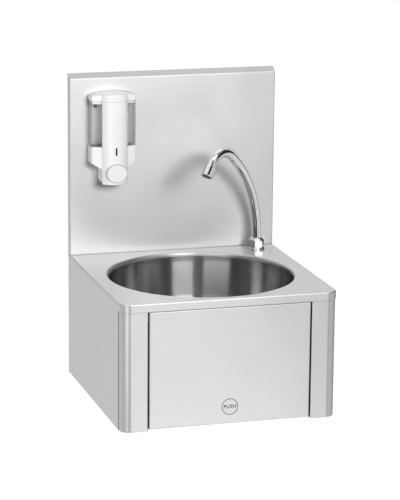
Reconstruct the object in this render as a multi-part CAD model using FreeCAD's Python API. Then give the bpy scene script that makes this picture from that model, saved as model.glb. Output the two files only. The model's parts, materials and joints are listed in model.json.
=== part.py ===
"""Wall-hung stainless steel hand wash sink with a knee panel, swan-neck spout and soap dispenser.

Lengths are in millimetres. X runs to the right, the wall is the plane Y = 0, the front faces -Y and
+Z is up. The pieces are drawn with Z = 0 on top of the deck, and save() moves them so that the origin
is the centre of the two wall-fixing holes.
"""
import FreeCAD
import Part

import math
import os

Vec = FreeCAD.Vector

# ---- Driving dimensions: basin body -------------------------------------------------------------
width = 400.0                 # over the side panels
depth = 400.0                 # wall to front lip
body_height = 232.0           # deck top to bottom edge
sheet = 1.2                   # stainless sheet
bend_radius = 2.0             # outside radius of a sharp fold
lip_height = 15.0             # front lip, wrapped round both corners
side_lip_height = 5.0         # short lip that the side panels are welded to
corner_radius = 20.0          # front corners, seen from above
hem_width = 15.0              # folded edges at the bottom and at the wall
fixing_below_deck = 45.0      # wall-fixing holes under the deck top

# ---- Splashback ---------------------------------------------------------------------------------
splash_height = 344.0         # deck top to the highest edge, at the wall
splash_depth = 16.2           # front face to the wall
splash_slope = 8.4            # rise of the sloped top return

# ---- Bowl and waste -----------------------------------------------------------------------------
bowl_side_margin = 25.0       # least deck beside the bowl's rolled edge
bowl_front_margin = 13.0      # deck in front of it
bowl_rear_margin = 37.0       # least deck behind it
bowl_roll = 5.0               # radius of the rolled edge
bowl_neck = 8.0               # depth of the rolled neck, where the bowl is welded on
bowl_depth = 136.0            # deck top to the edge of the waste recess
bowl_taper = 12.0             # how far the wall leans in
bowl_floor_fall = 6.0         # fall of the floor towards the waste
bowl_bottom_radius = 58.0
recess_radius = 41.0
recess_depth = 3.5
waste_hole_radius = 22.5
seal_thickness = 1.5
strainer_radius = 31.0
strainer_thickness = 1.5
strainer_dish = 3.5
strainer_hole_radius = 3.2
strainer_hole_count = 8
strainer_hole_circle = 13.0
waste_thread_radius = 20.95   # G 1 1/4 tail
waste_bore_radius = 17.5
waste_flange_radius = 30.0
waste_flange_thickness = 3.0
waste_tail_length = 45.0      # with the flange
thread_chamfer = 1.2
strainer_bevel = 1.2
strainer_screw_radius = 2.5
strainer_screw_head_radius = 5.0
strainer_screw_head_height = 2.4
bridge_below_flange = 2.4     # bridge across the waste bore, which takes the screw
bridge_height = 4.5
bridge_half_thickness = 1.2
bridge_hub_radius = 5.0

# ---- Corner posts and knee panel ----------------------------------------------------------------
opening_width = 301.0         # between the two posts' return flanges
flange_depth = 34.0           # return flanges of the posts and side flanges of the panel
post_overlap = 30.0           # post flange lying against the side panel
panel_gap = 2.0               # each side of the panel
panel_return = 9.0            # top and bottom flanges of the panel
panel_top_gap = 0.9           # under the lip
panel_bottom_gap = 3.0        # above the posts' bottom edge
panel_setback = 0.3           # panel face behind the post faces
pivot_below_lip = 15.0
pivot_behind_face = 12.5
knee_angle = 4.0              # full push, degrees
push_above_bottom = 34.0      # height of the push mark and of the valve
pin_radius = 3.0
pin_head_radius = 5.0
pin_head_thickness = 1.5
pin_tip_length = 1.5          # pin inside the panel's side flange
bush_wall = 1.5
bush_tip_length = 0.75        # bush inside the panel's side flange
bush_flange_radius = 7.0
bush_flange_thickness = 0.8
travel_screw_radius = 2.5
travel_screw_head_radius = 5.0
travel_screw_head_height = 3.0
travel_screw_tail = 1.2       # past the nut
travel_nut_flats = 10.0
travel_nut_thickness = 3.6
travel_screw_above_bottom = 18.0
travel_screw_from_edge = 7.5
travel_slot_clearance = 0.6

# ---- Knee valve ---------------------------------------------------------------------------------
running_clearance = 0.05
touch_gap = 0.3               # between the striker pad and the plunger's dome
rail_height = 40.0
rail_depth = 15.0
rail_behind_front = 55.0      # cross rail's face behind the basin's front
striker_radius = 14.0
striker_thickness = 4.0
striker_edge_radius = 1.2
plunger_stem_radius = 4.0
plunger_head_radius = 9.0
plunger_head_thickness = 4.0
plunger_dome_radius = 12.0
valve_thread_radius = 14.0
valve_gland_length = 20.0     # gland in front of the cross rail
valve_shoulder_radius = 18.0
valve_shoulder_thickness = 5.0
valve_body_radius = 15.0
valve_body_length = 46.0
valve_bore_depth = 42.0
stem_end_clearance = 1.5      # stem to the bottom of the bore at full push
locknut_flats = 36.0
locknut_thickness = 6.0
spring_wire_radius = 0.6
spring_wire_sides = 8
valve_spring_radius = 6.6
valve_spring_turns = 6
outlet_boss_radius = 9.0
outlet_boss_length = 27.0
outlet_from_shoulder = 20.0

# ---- Mixing tee, check valves and pipe ----------------------------------------------------------
tee_radius = 12.0
tee_end_length = 16.0         # tee outside each port's axis
tee_end_chamfer = 1.5
tee_neck_length = 20.0
port_spacing = 40.0           # between the hot and the cold inlet
port_seat_depth = 11.0        # flat under the tee, below its axis
port_seat_margin = 0.6        # flat round the corners of the hexagon
inlet_thread_radius = 10.48   # G 1/2
inlet_thread_length = 13.0
inlet_bore_radius = 6.5
inlet_hex_flats = 24.0
inlet_hex_length = 8.0
pipe_radius = 5.0
pipe_wall = 0.8
pipe_bend_radius = 28.0
pipe_nut_flats = 19.0
pipe_nut_length = 12.0

# ---- Spout --------------------------------------------------------------------------------------
spout_from_side = 42.5        # axis to the deck's right side
spout_to_wall = 49.0
spout_heading = 218.0         # degrees from +X, counter-clockwise from above
tube_radius = 8.2
tube_wall = 1.0
spout_rise = 122.0            # deck to the corner of the lower bend
spout_lean = 50.5             # lean of the neck from the vertical, degrees
spout_neck = 160.0            # lower corner to upper corner
spout_outlet_angle = 142.5    # outlet direction from the vertical, degrees
spout_tip = 22.0              # straight end of the tube, which carries the sleeve
lower_bend_radius = 203.0
crown_radius = 47.5
shank_radius = 10.4
shank_bore_radius = 4.5
shank_length = 56.0
shank_hole_clearance = 0.6
shank_nose_length = 9.0
base_radius = 14.6
base_height = 4.0
base_edge_radius = 1.2
collar_wall = 2.9             # least wall of the cap nut
collar_height = 23.0          # deck to the top of the cap nut
collar_shoulder = 6.5         # height of its domed shoulder
collar_top_wall = 4.5
collar_top_land = 0.6         # flat ring round the tube
collar_chamfer_width = 1.2
collar_chamfer_height = 2.4
flare_step = 1.6              # flare outside the tube
flare_height = 3.0
shank_top = 11.0
shank_nut_flats = 30.0
shank_nut_height = 7.0
shank_washer_radius = 17.0
shank_washer_thickness = 2.0
oring_wire_radius = 0.72
oring_groove_half = 0.94
oring_up_nose = 5.4
aerator_wall = 2.8
aerator_length = 21.0
aerator_edge_radius = 0.6
aerator_insert_length = 6.0
aerator_recess = 1.2
jet_count = 6
jet_circle = 5.5
jet_radius = 1.2
jet_depth = 3.0

# ---- Soap dispenser, measured from the splashback's face ----------------------------------------
soap_from_side = 78.2         # middle of the dispenser to the left edge of the splashback
soap_half_width = 43.2
soap_side_depth = 25.8        # flat sides
soap_face_depth = 32.0        # sloped front faces meet the band here
soap_corner_radius = 5.0
band_half_width = 24.2
band_step = 2.0               # band's edge in front of the side housings
band_crown = 13.0
soap_wall = 2.0
soap_bottom = 141.0           # lowest edge above the deck
stem_height = 28.0            # lowest edge to the side housings
stem_corner_radius = 6.0      # lower corners
housing_slope = 11.0          # rise of the slope under each side housing
shelf_height = 70.0           # lowest edge to the shelf under the container
container_height = 86.0       # shelf to the lid
lid_side_height = 8.6
lid_crown = 5.5
lid_edge_radius = 2.0
lid_gap = 0.3
lid_plug_depth = 6.0
lid_plug_clearance = 0.4
container_wall = 1.8
container_inset = 0.5
spigot_radius = 5.5
spigot_wall = 1.5
spigot_length = 20.0
spigot_depth = 14.0           # spigot axis in front of the splashback
backplate_thickness = 3.0
backplate_clearance = 0.4
button_above_bottom = 21.8
button_half_width = 18.8
button_half_height = 16.6
button_clearance = 0.5
button_proud = 6.0            # button's face in front of the band's crown
button_skirt = 17.5
button_wall = 2.0
button_edge_radius = 1.8
button_travel = 8.0
pump_radius = 10.5
pump_end_wall = 2.0
pump_end_clearance = 1.0      # piston to the end of its bore at full press
piston_radius = 4.0
piston_reach = 10.0           # piston inside the pump at rest
pump_spring_radius = 6.4
pump_spring_turns = 6
inlet_boss_radius = 8.0
nozzle_radius = 4.5
nozzle_bore_radius = 2.5
nozzle_length = 12.0
slot_above_button = 40.7
slot_length = 15.0
slot_width = 3.6
slot_insert_recess = 1.0
slot_insert_depth = 5.0
screw_radius = 2.0
screw_head_radius = 4.0
screw_head_height = 2.0
screw_tail = 8.0
screw_nut_radius = 3.6
screw_nut_thickness = 3.0
screw_spread = 30.0
screw_above_slope = 10.0      # lower pair of screws
screw_below_lid = 13.0        # upper pair
wall_hole_radius = 4.5
wall_hole_spacing = 300.0
wall_rail_height = 70.0

# ---- Places worked out from the dimensions above ------------------------------------------------
half_width = width / 2
bowl_radius = min(half_width - bowl_side_margin, (depth - bowl_front_margin - bowl_rear_margin) / 2)
bowl_to_wall = depth - bowl_front_margin - bowl_radius
post_face_y = -(depth - sheet)
panel_face_y = post_face_y + panel_setback
panel_half_width = opening_width / 2 - panel_gap
panel_top_z = -lip_height - panel_top_gap
panel_bottom_z = -body_height + panel_bottom_gap
pivot_y = panel_face_y + pivot_behind_face
pivot_z = -lip_height - pivot_below_lip
push_z = -body_height + push_above_bottom
travel_screw_y = panel_face_y + flange_depth - travel_screw_from_edge
travel_screw_z = panel_bottom_z + travel_screw_above_bottom
bush_radius = pin_radius + running_clearance + bush_wall
rail_face_y = -(depth - rail_behind_front)
striker_y = panel_face_y + sheet + striker_thickness
plunger_tip_y = striker_y + touch_gap
plunger_head_y = plunger_tip_y + plunger_head_thickness
gland_y = rail_face_y - valve_gland_length
shoulder_y = rail_face_y + sheet
valve_rear_y = shoulder_y + valve_shoulder_thickness + valve_body_length
outlet_y = shoulder_y + outlet_from_shoulder
tee_y = valve_rear_y + tee_neck_length
knee_stroke = math.radians(knee_angle) * (pivot_z - push_z)
bowl_floor_z = -bowl_depth - recess_depth
spout_x = half_width - spout_from_side
crown_half_turn = math.radians(spout_outlet_angle - spout_lean) / 2
spout_drop = spout_tip + crown_radius * math.tan(crown_half_turn)
flare_radius = tube_radius + flare_step
collar_bore_radius = flare_radius + touch_gap
collar_flats = 2 * (collar_bore_radius + collar_wall)
aerator_radius = tube_radius + aerator_wall
soap_x = soap_from_side - half_width
soap_y = -splash_depth
band_edge_depth = soap_face_depth + band_step
band_depth = band_edge_depth + band_crown
housing_inner_bottom = soap_bottom + stem_height
housing_outer_bottom = housing_inner_bottom + housing_slope
housing_top = soap_bottom + shelf_height
lid_bottom = housing_top + container_height
button_height = soap_bottom + button_above_bottom
button_face_depth = band_depth + button_proud
slot_height = button_height + slot_above_button
screw_rows = (housing_outer_bottom + screw_above_slope, lid_bottom - screw_below_lid)
pump_bore_depth = piston_reach + button_travel + pump_end_clearance
pump_length = pump_bore_depth + pump_end_wall
X_AXIS = Vec(1, 0, 0)
Y_AXIS = Vec(0, 1, 0)
Z_AXIS = Vec(0, 0, 1)


# ---- General shapes -----------------------------------------------------------------------------
def block(x_low, x_high, y_low, y_high, z_low, z_high):
    """Box between two corners."""
    return Part.makeBox(x_high - x_low, y_high - y_low, z_high - z_low, Vec(x_low, y_low, z_low))


def cylinder(radius, start, end):
    """Cylinder between two points."""
    axis = end - start
    return Part.makeCylinder(radius, axis.Length, start, axis)


def hexagon(flats, start, end):
    """Hexagonal prism between two points along X, Y or Z, with two flats level."""
    axis = end - start
    side = Vec(0, 0, 1) if abs(axis.z) < axis.Length / 2 else Vec(0, 1, 0)
    other = axis.cross(side).normalize()
    corner = flats / 2 / math.cos(math.pi / 6)
    angles = [math.radians(60 * step) for step in range(7)]
    points = [start + other * (corner * math.cos(a)) + side * (corner * math.sin(a)) for a in angles]
    return Part.Face(Part.makePolygon(points)).extrude(axis)


def rounded_path(points, radii):
    """Open wire through the points, with a tangent arc of the given radius at each inner point."""
    edges = []
    last = points[0]
    for before, corner, after, radius in zip(points, points[1:], points[2:], radii):
        back = (before - corner).normalize()
        ahead = (after - corner).normalize()
        half_turn = (math.pi - back.getAngle(ahead)) / 2
        if radius == 0 or half_turn < 1e-6:
            start, end = corner, corner
        else:
            reach = radius * math.tan(half_turn)
            start, end = corner + back * reach, corner + ahead * reach
        if (start - last).Length > 1e-6:
            edges.append(Part.LineSegment(last, start).toShape())
        if (end - start).Length > 1e-6:
            inward = (back + ahead).normalize()
            centre_distance = radius / math.cos(half_turn)
            middle = corner + inward * (centre_distance - radius)
            edges.append(Part.Arc(start, middle, end).toShape())
        last = end
    edges.append(Part.LineSegment(last, points[-1]).toShape())
    return Part.Wire(edges)


def closed_wire(points, radii):
    """Closed wire with rounded corners, starting half way along its first side."""
    start = (points[0] + points[1]) * 0.5
    loop = [start] + points[1:] + [points[0], start]
    return rounded_path(loop, radii[1:] + [radii[0]])


def fillet_at(shape, radius, wanted):
    """Fillet the edges for which wanted(edge) is true."""
    return shape.makeFillet(radius, [edge for edge in shape.Edges if wanted(edge)])


def folded_tray(x_range, y_range, z_range, outer, inner, fold_edges):
    """Sheet tray: a block with rounded folds, hollowed by a second block that runs out of its open sides."""
    shell = fillet_at(block(*x_range, *y_range, *z_range), outer, fold_edges)
    return shell.cut(fillet_at(inner, outer - sheet, fold_edges))


def tube_along(path, radius):
    """Round bar that follows a smooth path."""
    first = path.Edges[0]
    start = path.OrderedVertexes[0].Point
    direction = first.tangentAt(first.FirstParameter)
    if (first.valueAt(first.FirstParameter) - start).Length > 1e-6:
        direction = first.tangentAt(first.LastParameter) * -1
    ring = Part.Wire(Part.makeCircle(radius, start, direction))
    bar = path.makePipeShell([ring], True, False)
    print("bar volume over section times length:", round(bar.Volume / (math.pi * radius**2 * path.Length), 4))
    return bar


def biarc(start, start_way, end, end_way):
    """Two arcs that join two points and keep both directions."""
    across = end - start
    ways = start_way + end_way
    a = 2 * (1 - start_way.dot(end_way))
    b = 2 * across.dot(ways)
    reach = (-b + math.sqrt(b * b + 4 * a * across.dot(across))) / (2 * a)
    joint = (start + end + (start_way - end_way) * reach) * 0.5
    return [arc_from(start, start_way, joint), arc_from(end, end_way * -1, joint, True)]


def arc_from(start, way, end, backwards=False):
    """Arc that leaves start along way and reaches end."""
    chord = end - start
    side = (chord - way * chord.dot(way)).normalize()
    radius = chord.dot(chord) / (2 * chord.dot(side))
    centre = start + side * radius
    middle = centre + ((start + end) * 0.5 - centre).normalize() * radius
    first, last = (end, start) if backwards else (start, end)
    return Part.Arc(first, middle, last).toShape()


def coil_spring(radius, wire_radius, turns, start, end):
    """Compression spring: one unbroken helix between two flat seats.

    The wire is drawn with flat sides: a round one would take half of the whole object's facets.
    """
    axis = (end - start).normalize()
    side = axis.cross(Z_AXIS).normalize()
    up = side.cross(axis)
    rise = (end - start).Length - 2 * wire_radius
    pitch_angle = rise / (2 * math.pi * turns)
    first = start + axis * wire_radius

    def place(angle):
        point = first + side * (radius * math.cos(angle)) + up * (radius * math.sin(angle))
        return point + axis * (pitch_angle * angle)

    def heading(angle):
        way = up * (radius * math.cos(angle)) - side * (radius * math.sin(angle))
        return (way + axis * pitch_angle).normalize()

    edges = []
    for step in range(2 * turns):
        a, b = math.pi * step, math.pi * (step + 1)
        edges += biarc(place(a), heading(a), place(b), heading(b))
    print("spring gap between turns:", round(rise / turns - 2 * wire_radius, 2))
    out = side
    across = heading(0).cross(out)
    corners = []
    for corner in range(spring_wire_sides + 1):
        turn = 2 * math.pi * corner / spring_wire_sides
        arm = out * math.cos(turn) + across * math.sin(turn)
        corners.append(place(0) + arm * wire_radius)
    return Part.Wire(edges).makePipeShell([Part.makePolygon(corners)], True, False)


def mirrored(shape):
    """The same piece on the other side of the basin's middle."""
    return shape.mirror(Vec(0, 0, 0), X_AXIS)


def save(name, shape):
    """Write one piece, moved to the row frame."""
    moved = shape.removeSplitter() if len(shape.Solids) == 1 else shape.copy()
    moved.translate(Vec(0, 0, fixing_below_deck))
    if not moved.isValid() or not moved.Solids:
        raise ValueError("bad solid: " + name)
    if len(moved.Solids) == 1:
        moved = moved.Solids[0]
    moved.exportStep("parts/" + name + ".step")
    size = moved.BoundBox
    print("%-22s %d solid  x %7.1f %7.1f  y %7.1f %7.1f  z %7.1f %7.1f" % (
        name, len(moved.Solids), size.XMin, size.XMax, size.YMin, size.YMax, size.ZMin, size.ZMax))


# ---- Basin body ---------------------------------------------------------------------------------
def deck_outline(inset, back, z):
    """Plan of the deck, square at the wall and rounded at the front."""
    side, front, radius = half_width - inset, depth - inset, corner_radius - inset
    corners = [Vec(-side, back, z), Vec(side, back, z), Vec(side, -front, z), Vec(-side, -front, z)]
    return Part.Face(closed_wire(corners, [0, 0, radius, radius]))


def deck():
    """Deck pan: rounded front lip, short side lips, rolled bowl edge and a hole for the spout."""
    def pan_block(inset, back):
        solid = deck_outline(inset, back, -lip_height - inset).extrude(Z_AXIS * lip_height)
        return fillet_at(solid, bend_radius - inset, lambda edge: edge.BoundBox.ZMin > -inset - 1e-3
                         and edge.BoundBox.YMin < back - 1e-3)

    pan = pan_block(0, 0).cut(pan_block(sheet, hem_width))
    corner_y = -(depth - corner_radius)
    pan = pan.cut(block(-width, width, corner_y, depth, -2 * lip_height, -side_lip_height))
    pan = pan.cut(cylinder(bowl_radius, Vec(0, -bowl_to_wall, -sheet * 2), Vec(0, -bowl_to_wall, sheet)))
    rolled = rounded_path([Vec(bowl_radius, -bowl_to_wall, 0), Vec(bowl_radius - bowl_roll, -bowl_to_wall, 0),
                           Vec(bowl_radius - bowl_roll, -bowl_to_wall, -bowl_neck)], [bowl_roll - 1e-4])
    pan = pan.fuse(turned_sheet(rolled, Vec(1, 0, -1)))
    hole = spout_point(0, 0)
    return pan.cut(cylinder(shank_radius + shank_hole_clearance, hole - Z_AXIS * 2 * sheet, hole + Z_AXIS))


def turned_sheet(path, thick_side):
    """Sheet of revolution round the bowl axis: the path is its face, and thick_side points into the metal."""
    for distance in (sheet, -sheet):
        skin = path.makeOffset2D(distance, 2, True, True, False)
        middle = path.CenterOfMass
        if (skin.CenterOfMass - middle).dot(thick_side) > 0:
            return skin.revolve(Vec(0, -bowl_to_wall, 0), Z_AXIS, 360)
    raise ValueError("offset went the wrong way")


def bowl():
    """Pressed bowl: tapered wall, large bottom radius, floor falling to the waste recess."""
    rim = bowl_radius - bowl_roll
    foot_z = -bowl_depth + bowl_floor_fall
    path = rounded_path([
        Vec(rim, -bowl_to_wall, -bowl_neck),
        Vec(rim, -bowl_to_wall, -2 * bowl_neck),
        Vec(rim - bowl_taper, -bowl_to_wall, foot_z),
        Vec(recess_radius + recess_depth, -bowl_to_wall, -bowl_depth),
        Vec(recess_radius, -bowl_to_wall, bowl_floor_z),
        Vec(waste_hole_radius, -bowl_to_wall, bowl_floor_z),
    ], [bowl_bottom_radius, bowl_bottom_radius, 2 * sheet, 2 * sheet])
    return turned_sheet(path, Vec(0, 0, -1))


def splashback():
    """Folded splashback pan with side returns, sloped top return and a foot on the deck."""
    def profile(inset, back):
        front_top = splash_height - splash_slope
        slope = math.atan2(splash_slope, splash_depth)
        lowered = inset / math.cos(slope)
        return [Vec(0, -splash_depth + inset, inset),
                Vec(0, -splash_depth + inset, front_top - lowered + inset * math.tan(slope)),
                Vec(0, back, splash_height - lowered + back * math.tan(slope)),
                Vec(0, back, inset)]

    def solid(inset, back):
        points = [point - X_AXIS * (half_width - inset) for point in profile(inset, back)]
        shape = Part.Face(Part.makePolygon(points + points[:1])).extrude(X_AXIS * (width - 2 * inset))
        front = -splash_depth + inset
        return fillet_at(shape, bend_radius - inset, lambda edge: edge.BoundBox.YMax < front + 1e-3
                         and edge.BoundBox.ZMax > inset + 1e-3)

    pan = solid(0, 0).cut(solid(sheet, 2 * sheet))
    for place in soap_screw_places():
        hole_radius = screw_radius + 2 * running_clearance
        pan = pan.cut(cylinder(hole_radius, place - Y_AXIS, place + Y_AXIS * 2 * sheet))
    return pan


def side_panel():
    """Left side panel with a folded bottom edge and a folded edge at the wall."""
    front = -(depth - corner_radius)
    x_range = (-half_width, -half_width + hem_width)

    def folds(edge):
        box = edge.BoundBox
        on_outside = box.XMax < -half_width + sheet + 1e-3
        bottom = box.ZMax < -body_height + sheet + 1e-3 and box.YLength > hem_width
        at_wall = box.YMin > -sheet - 1e-3 and box.ZLength > hem_width
        return on_outside and (bottom or at_wall)

    inner = block(-half_width + sheet, 0, 2 * front, -sheet, -body_height + sheet, lip_height)
    panel = folded_tray(x_range, (front, 0), (-body_height, -side_lip_height), bend_radius, inner, folds)
    notch = block(-half_width + sheet, 0, front - 1, front + post_overlap, -body_height - 1, lip_height)
    return panel.cut(notch)


def corner_post():
    """Left corner post: flange inside the side panel, rounded corner, face and return flange."""
    side_x = -(half_width - sheet)
    inner_x = -opening_width / 2
    back_y = -(depth - corner_radius) + post_overlap
    radius = corner_radius - sheet
    bottom = -body_height
    points = [Vec(side_x, back_y, bottom), Vec(side_x, post_face_y, bottom),
              Vec(inner_x, post_face_y, bottom), Vec(inner_x, post_face_y + flange_depth, bottom)]
    skin = offset_band(rounded_path(points, [radius, bend_radius]), sheet, Vec(1, 1, 0))
    post = skin.extrude(Vec(0, 0, body_height - bend_radius))
    hem_end = Vec(inner_x - bend_radius, post_face_y, bottom)
    hem_path = rounded_path([points[0], points[1], hem_end], [radius])
    post = post.fuse(offset_band(hem_path, hem_width, Vec(1, 1, 0)).extrude(Vec(0, 0, sheet)))
    for hole, radius in ((Vec(inner_x, pivot_y, pivot_z), pin_radius),
                         (Vec(inner_x, travel_screw_y, travel_screw_z), travel_screw_radius)):
        drill = cylinder(radius + running_clearance, hole - X_AXIS * 2 * sheet, hole + X_AXIS * sheet)
        post = post.cut(drill)
    return post


def offset_band(path, thickness, inward):
    """Flat face between a path and its offset on the inward side."""
    for distance in (thickness, -thickness):
        band = path.makeOffset2D(distance, 2, True, True, False)
        if (band.CenterOfMass - path.CenterOfMass).dot(inward) > 0:
            return band
    raise ValueError("offset went the wrong way")


def wall_rail():
    """Channel at the wall with the two fixing holes, welded under the deck and to the side panels."""
    half = half_width - hem_width
    top = -sheet
    bottom = top - wall_rail_height

    def folds(edge):
        box = edge.BoundBox
        return box.XLength > hem_width and box.YMin > -sheet - 1e-3

    inner = block(-width, width, -2 * hem_width, -sheet, bottom + sheet, top - sheet)
    rail = folded_tray((-half, half), (-hem_width, 0), (bottom, top), bend_radius, inner, folds)
    for side in (-1, 1):
        hole = Vec(side * wall_hole_spacing / 2, 0, -fixing_below_deck)
        rail = rail.cut(cylinder(wall_hole_radius, hole - Y_AXIS * 2 * sheet, hole + Y_AXIS))
    return rail


# ---- Knee panel, its hinge and its travel screws ------------------------------------------------
def knee_panel():
    """Folded push panel with pivot holes and curved-path slots in its side flanges."""
    half = panel_half_width
    back = panel_face_y + flange_depth

    def folds(edge):
        return edge.BoundBox.YMax < panel_face_y + sheet + 1e-3

    inner = block(-half + sheet, half - sheet, panel_face_y + sheet, 0, panel_bottom_z + sheet,
                  panel_top_z - sheet)
    z_range = (panel_bottom_z, panel_top_z)
    panel = folded_tray((-half, half), (panel_face_y, back), z_range, bend_radius, inner, folds)
    middle = half - 2 * sheet
    panel = panel.cut(block(-middle, middle, panel_face_y + panel_return, 0, -body_height, 0))
    panel = panel.cut(cylinder(bush_radius, Vec(-width, pivot_y, pivot_z), Vec(width, pivot_y, pivot_z)))
    return panel.cut(travel_slot())


def travel_slot():
    """Slot swept by the travel screw when the panel turns through its range."""
    radius = travel_screw_radius + travel_slot_clearance
    start = Vec(0, travel_screw_y, travel_screw_z)
    turn = FreeCAD.Rotation(X_AXIS, -knee_angle)
    pivot = Vec(0, pivot_y, pivot_z)
    end = pivot + turn.multVec(start - pivot)
    ends = [cylinder(radius, point - X_AXIS * width, point + X_AXIS * width) for point in (start, end)]
    along = (end - start).normalize()
    across = along.cross(X_AXIS) * radius
    corners = [start + across, end + across, end - across, start - across]
    corners = [corner - X_AXIS * width for corner in corners]
    middle = Part.Face(Part.makePolygon(corners + corners[:1])).extrude(X_AXIS * 2 * width)
    return ends[0].fuse([ends[1], middle])


def hinge_pin():
    """Left hinge pin: head inside the corner post, shaft through the post and the panel's bush."""
    seat = Vec(-opening_width / 2 - sheet, pivot_y, pivot_z)
    inner_end = Vec(-panel_half_width + sheet + pin_tip_length, pivot_y, pivot_z)
    head = cylinder(pin_head_radius, seat - X_AXIS * pin_head_thickness, seat)
    return head.fuse(cylinder(pin_radius, seat, inner_end))


def hinge_bush():
    """Left flanged bush, pressed into the panel's side flange."""
    face = Vec(-panel_half_width, pivot_y, pivot_z)
    body = cylinder(bush_radius, face, face + X_AXIS * (sheet + bush_tip_length))
    body = body.fuse(cylinder(bush_flange_radius, face - X_AXIS * bush_flange_thickness, face))
    bore_radius = pin_radius + running_clearance
    return body.cut(cylinder(bore_radius, face - X_AXIS * panel_gap, face + X_AXIS * hem_width))


def travel_screw():
    """Left shoulder screw that stops the panel at both ends of its slot."""
    flange = Vec(-opening_width / 2 - sheet, travel_screw_y, travel_screw_z)
    head_face = Vec(-panel_half_width + sheet + travel_slot_clearance, travel_screw_y, travel_screw_z)
    shaft_end = flange - X_AXIS * (travel_nut_thickness + travel_screw_tail)
    shaft = cylinder(travel_screw_radius, shaft_end, head_face)
    head = cylinder(travel_screw_head_radius, head_face, head_face + X_AXIS * travel_screw_head_height)
    nut = hexagon(travel_nut_flats, flange - X_AXIS * travel_nut_thickness, flange)
    return shaft.fuse([head, nut])


def striker_pad():
    """Rubber pad behind the push mark."""
    back = Vec(0, striker_y, push_z)
    pad = cylinder(striker_radius, back - Y_AXIS * striker_thickness, back)
    return fillet_at(pad, striker_edge_radius, lambda edge: edge.BoundBox.YMin > striker_y - 1e-3)


# ---- Knee valve ---------------------------------------------------------------------------------
def valve_rail():
    """Folded cross rail between the side panels, which carries the knee valve."""
    half = half_width - sheet
    low, high = push_z - rail_height / 2, push_z + rail_height / 2

    def folds(edge):
        box = edge.BoundBox
        return box.XLength > hem_width and box.YMax < rail_face_y + sheet + 1e-3

    inner = block(-width, width, rail_face_y + sheet, 0, low + sheet, high - sheet)
    y_range = (rail_face_y, rail_face_y + rail_depth)
    rail = folded_tray((-half, half), y_range, (low, high), bend_radius, inner, folds)
    hole = Vec(0, rail_face_y, push_z)
    hole_radius = valve_thread_radius + running_clearance
    return rail.cut(cylinder(hole_radius, hole - Y_AXIS, hole + Y_AXIS * 2 * sheet))


def along_y(profile):
    """Turned piece: (radius, y) points of one half section, revolved round the valve axis."""
    points = [Vec(radius, y, push_z) for radius, y in profile]
    return Part.Face(Part.makePolygon(points + points[:1])).revolve(Vec(0, 0, push_z), Y_AXIS, 360)


def valve_body():
    """Brass valve: threaded gland, shoulder behind the rail, body, side outlet and plunger bore."""
    bore = plunger_stem_radius + running_clearance
    body_y = shoulder_y + valve_shoulder_thickness
    chamfer = thread_chamfer
    turned = along_y([
        (bore, gland_y), (valve_thread_radius - chamfer, gland_y),
        (valve_thread_radius, gland_y + chamfer), (valve_thread_radius, shoulder_y),
        (valve_shoulder_radius, shoulder_y), (valve_shoulder_radius, body_y),
        (valve_body_radius, body_y), (valve_body_radius, valve_rear_y - chamfer),
        (valve_body_radius - chamfer, valve_rear_y), (0, valve_rear_y), (0, gland_y + valve_bore_depth),
        (bore, gland_y + valve_bore_depth)])
    boss_end = Vec(outlet_boss_length, outlet_y, push_z)
    boss = cylinder(outlet_boss_radius, Vec(valve_body_radius / 2, outlet_y, push_z), boss_end)
    socket = cylinder(pipe_radius, boss_end - X_AXIS * pipe_nut_length / 2, boss_end + X_AXIS)
    return turned.fuse(boss).cut(socket)


def valve_locknut():
    """Hexagon locknut on the gland, against the front of the rail."""
    face = Vec(0, rail_face_y, push_z)
    nut = hexagon(locknut_flats, face - Y_AXIS * locknut_thickness, face)
    thread = cylinder(valve_thread_radius, face - Y_AXIS * 2 * locknut_thickness, face + Y_AXIS)
    return nut.cut(thread)


def valve_plunger():
    """Plunger with a domed head and a polished stem."""
    dome = Part.makeSphere(plunger_dome_radius, Vec(0, plunger_tip_y + plunger_dome_radius, push_z))
    head = cylinder(plunger_head_radius, Vec(0, plunger_tip_y - 1, push_z), Vec(0, plunger_head_y, push_z))
    stem_end = gland_y + valve_bore_depth - knee_stroke - stem_end_clearance
    stem = cylinder(plunger_stem_radius, Vec(0, plunger_head_y - 1, push_z), Vec(0, stem_end, push_z))
    return head.common(dome).fuse(stem)


def valve_spring():
    """Return spring between the gland and the plunger's head."""
    return coil_spring(valve_spring_radius, spring_wire_radius, valve_spring_turns,
                       Vec(0, plunger_head_y, push_z), Vec(0, gland_y, push_z))


# ---- Mixing tee, check valves and pipe ----------------------------------------------------------
def port_point(side, below):
    """Point on the axis of the hot (-1) or cold (+1) port, below the tee's axis."""
    return Vec(side * port_spacing / 2, tee_y, push_z - below)


def mixing_tee():
    """Brass tee behind the valve: closed ends and two ports with flat seats on its underside."""
    centre = Vec(0, tee_y, push_z)
    half = X_AXIS * (port_spacing / 2 + tee_end_length)
    run = cylinder(tee_radius, centre - half, centre + half)
    rims = [edge for edge in run.Edges if isinstance(edge.Curve, Part.Circle)]
    run = run.makeChamfer(tee_end_chamfer, rims)
    tee = run.fuse(cylinder(tee_radius, Vec(0, valve_rear_y, push_z), centre))
    seat_radius = inlet_hex_flats / 2 / math.cos(math.pi / 6) + port_seat_margin
    tee = tee.cut(cylinder(inlet_bore_radius, port_point(-1, 0), port_point(1, 0)))
    for side in (-1, 1):
        low = port_point(side, 2 * tee_radius)
        tee = tee.cut(cylinder(inlet_bore_radius, low, port_point(side, 0)))
        tee = tee.cut(cylinder(seat_radius, low, port_point(side, port_seat_depth)))
    return tee


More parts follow.
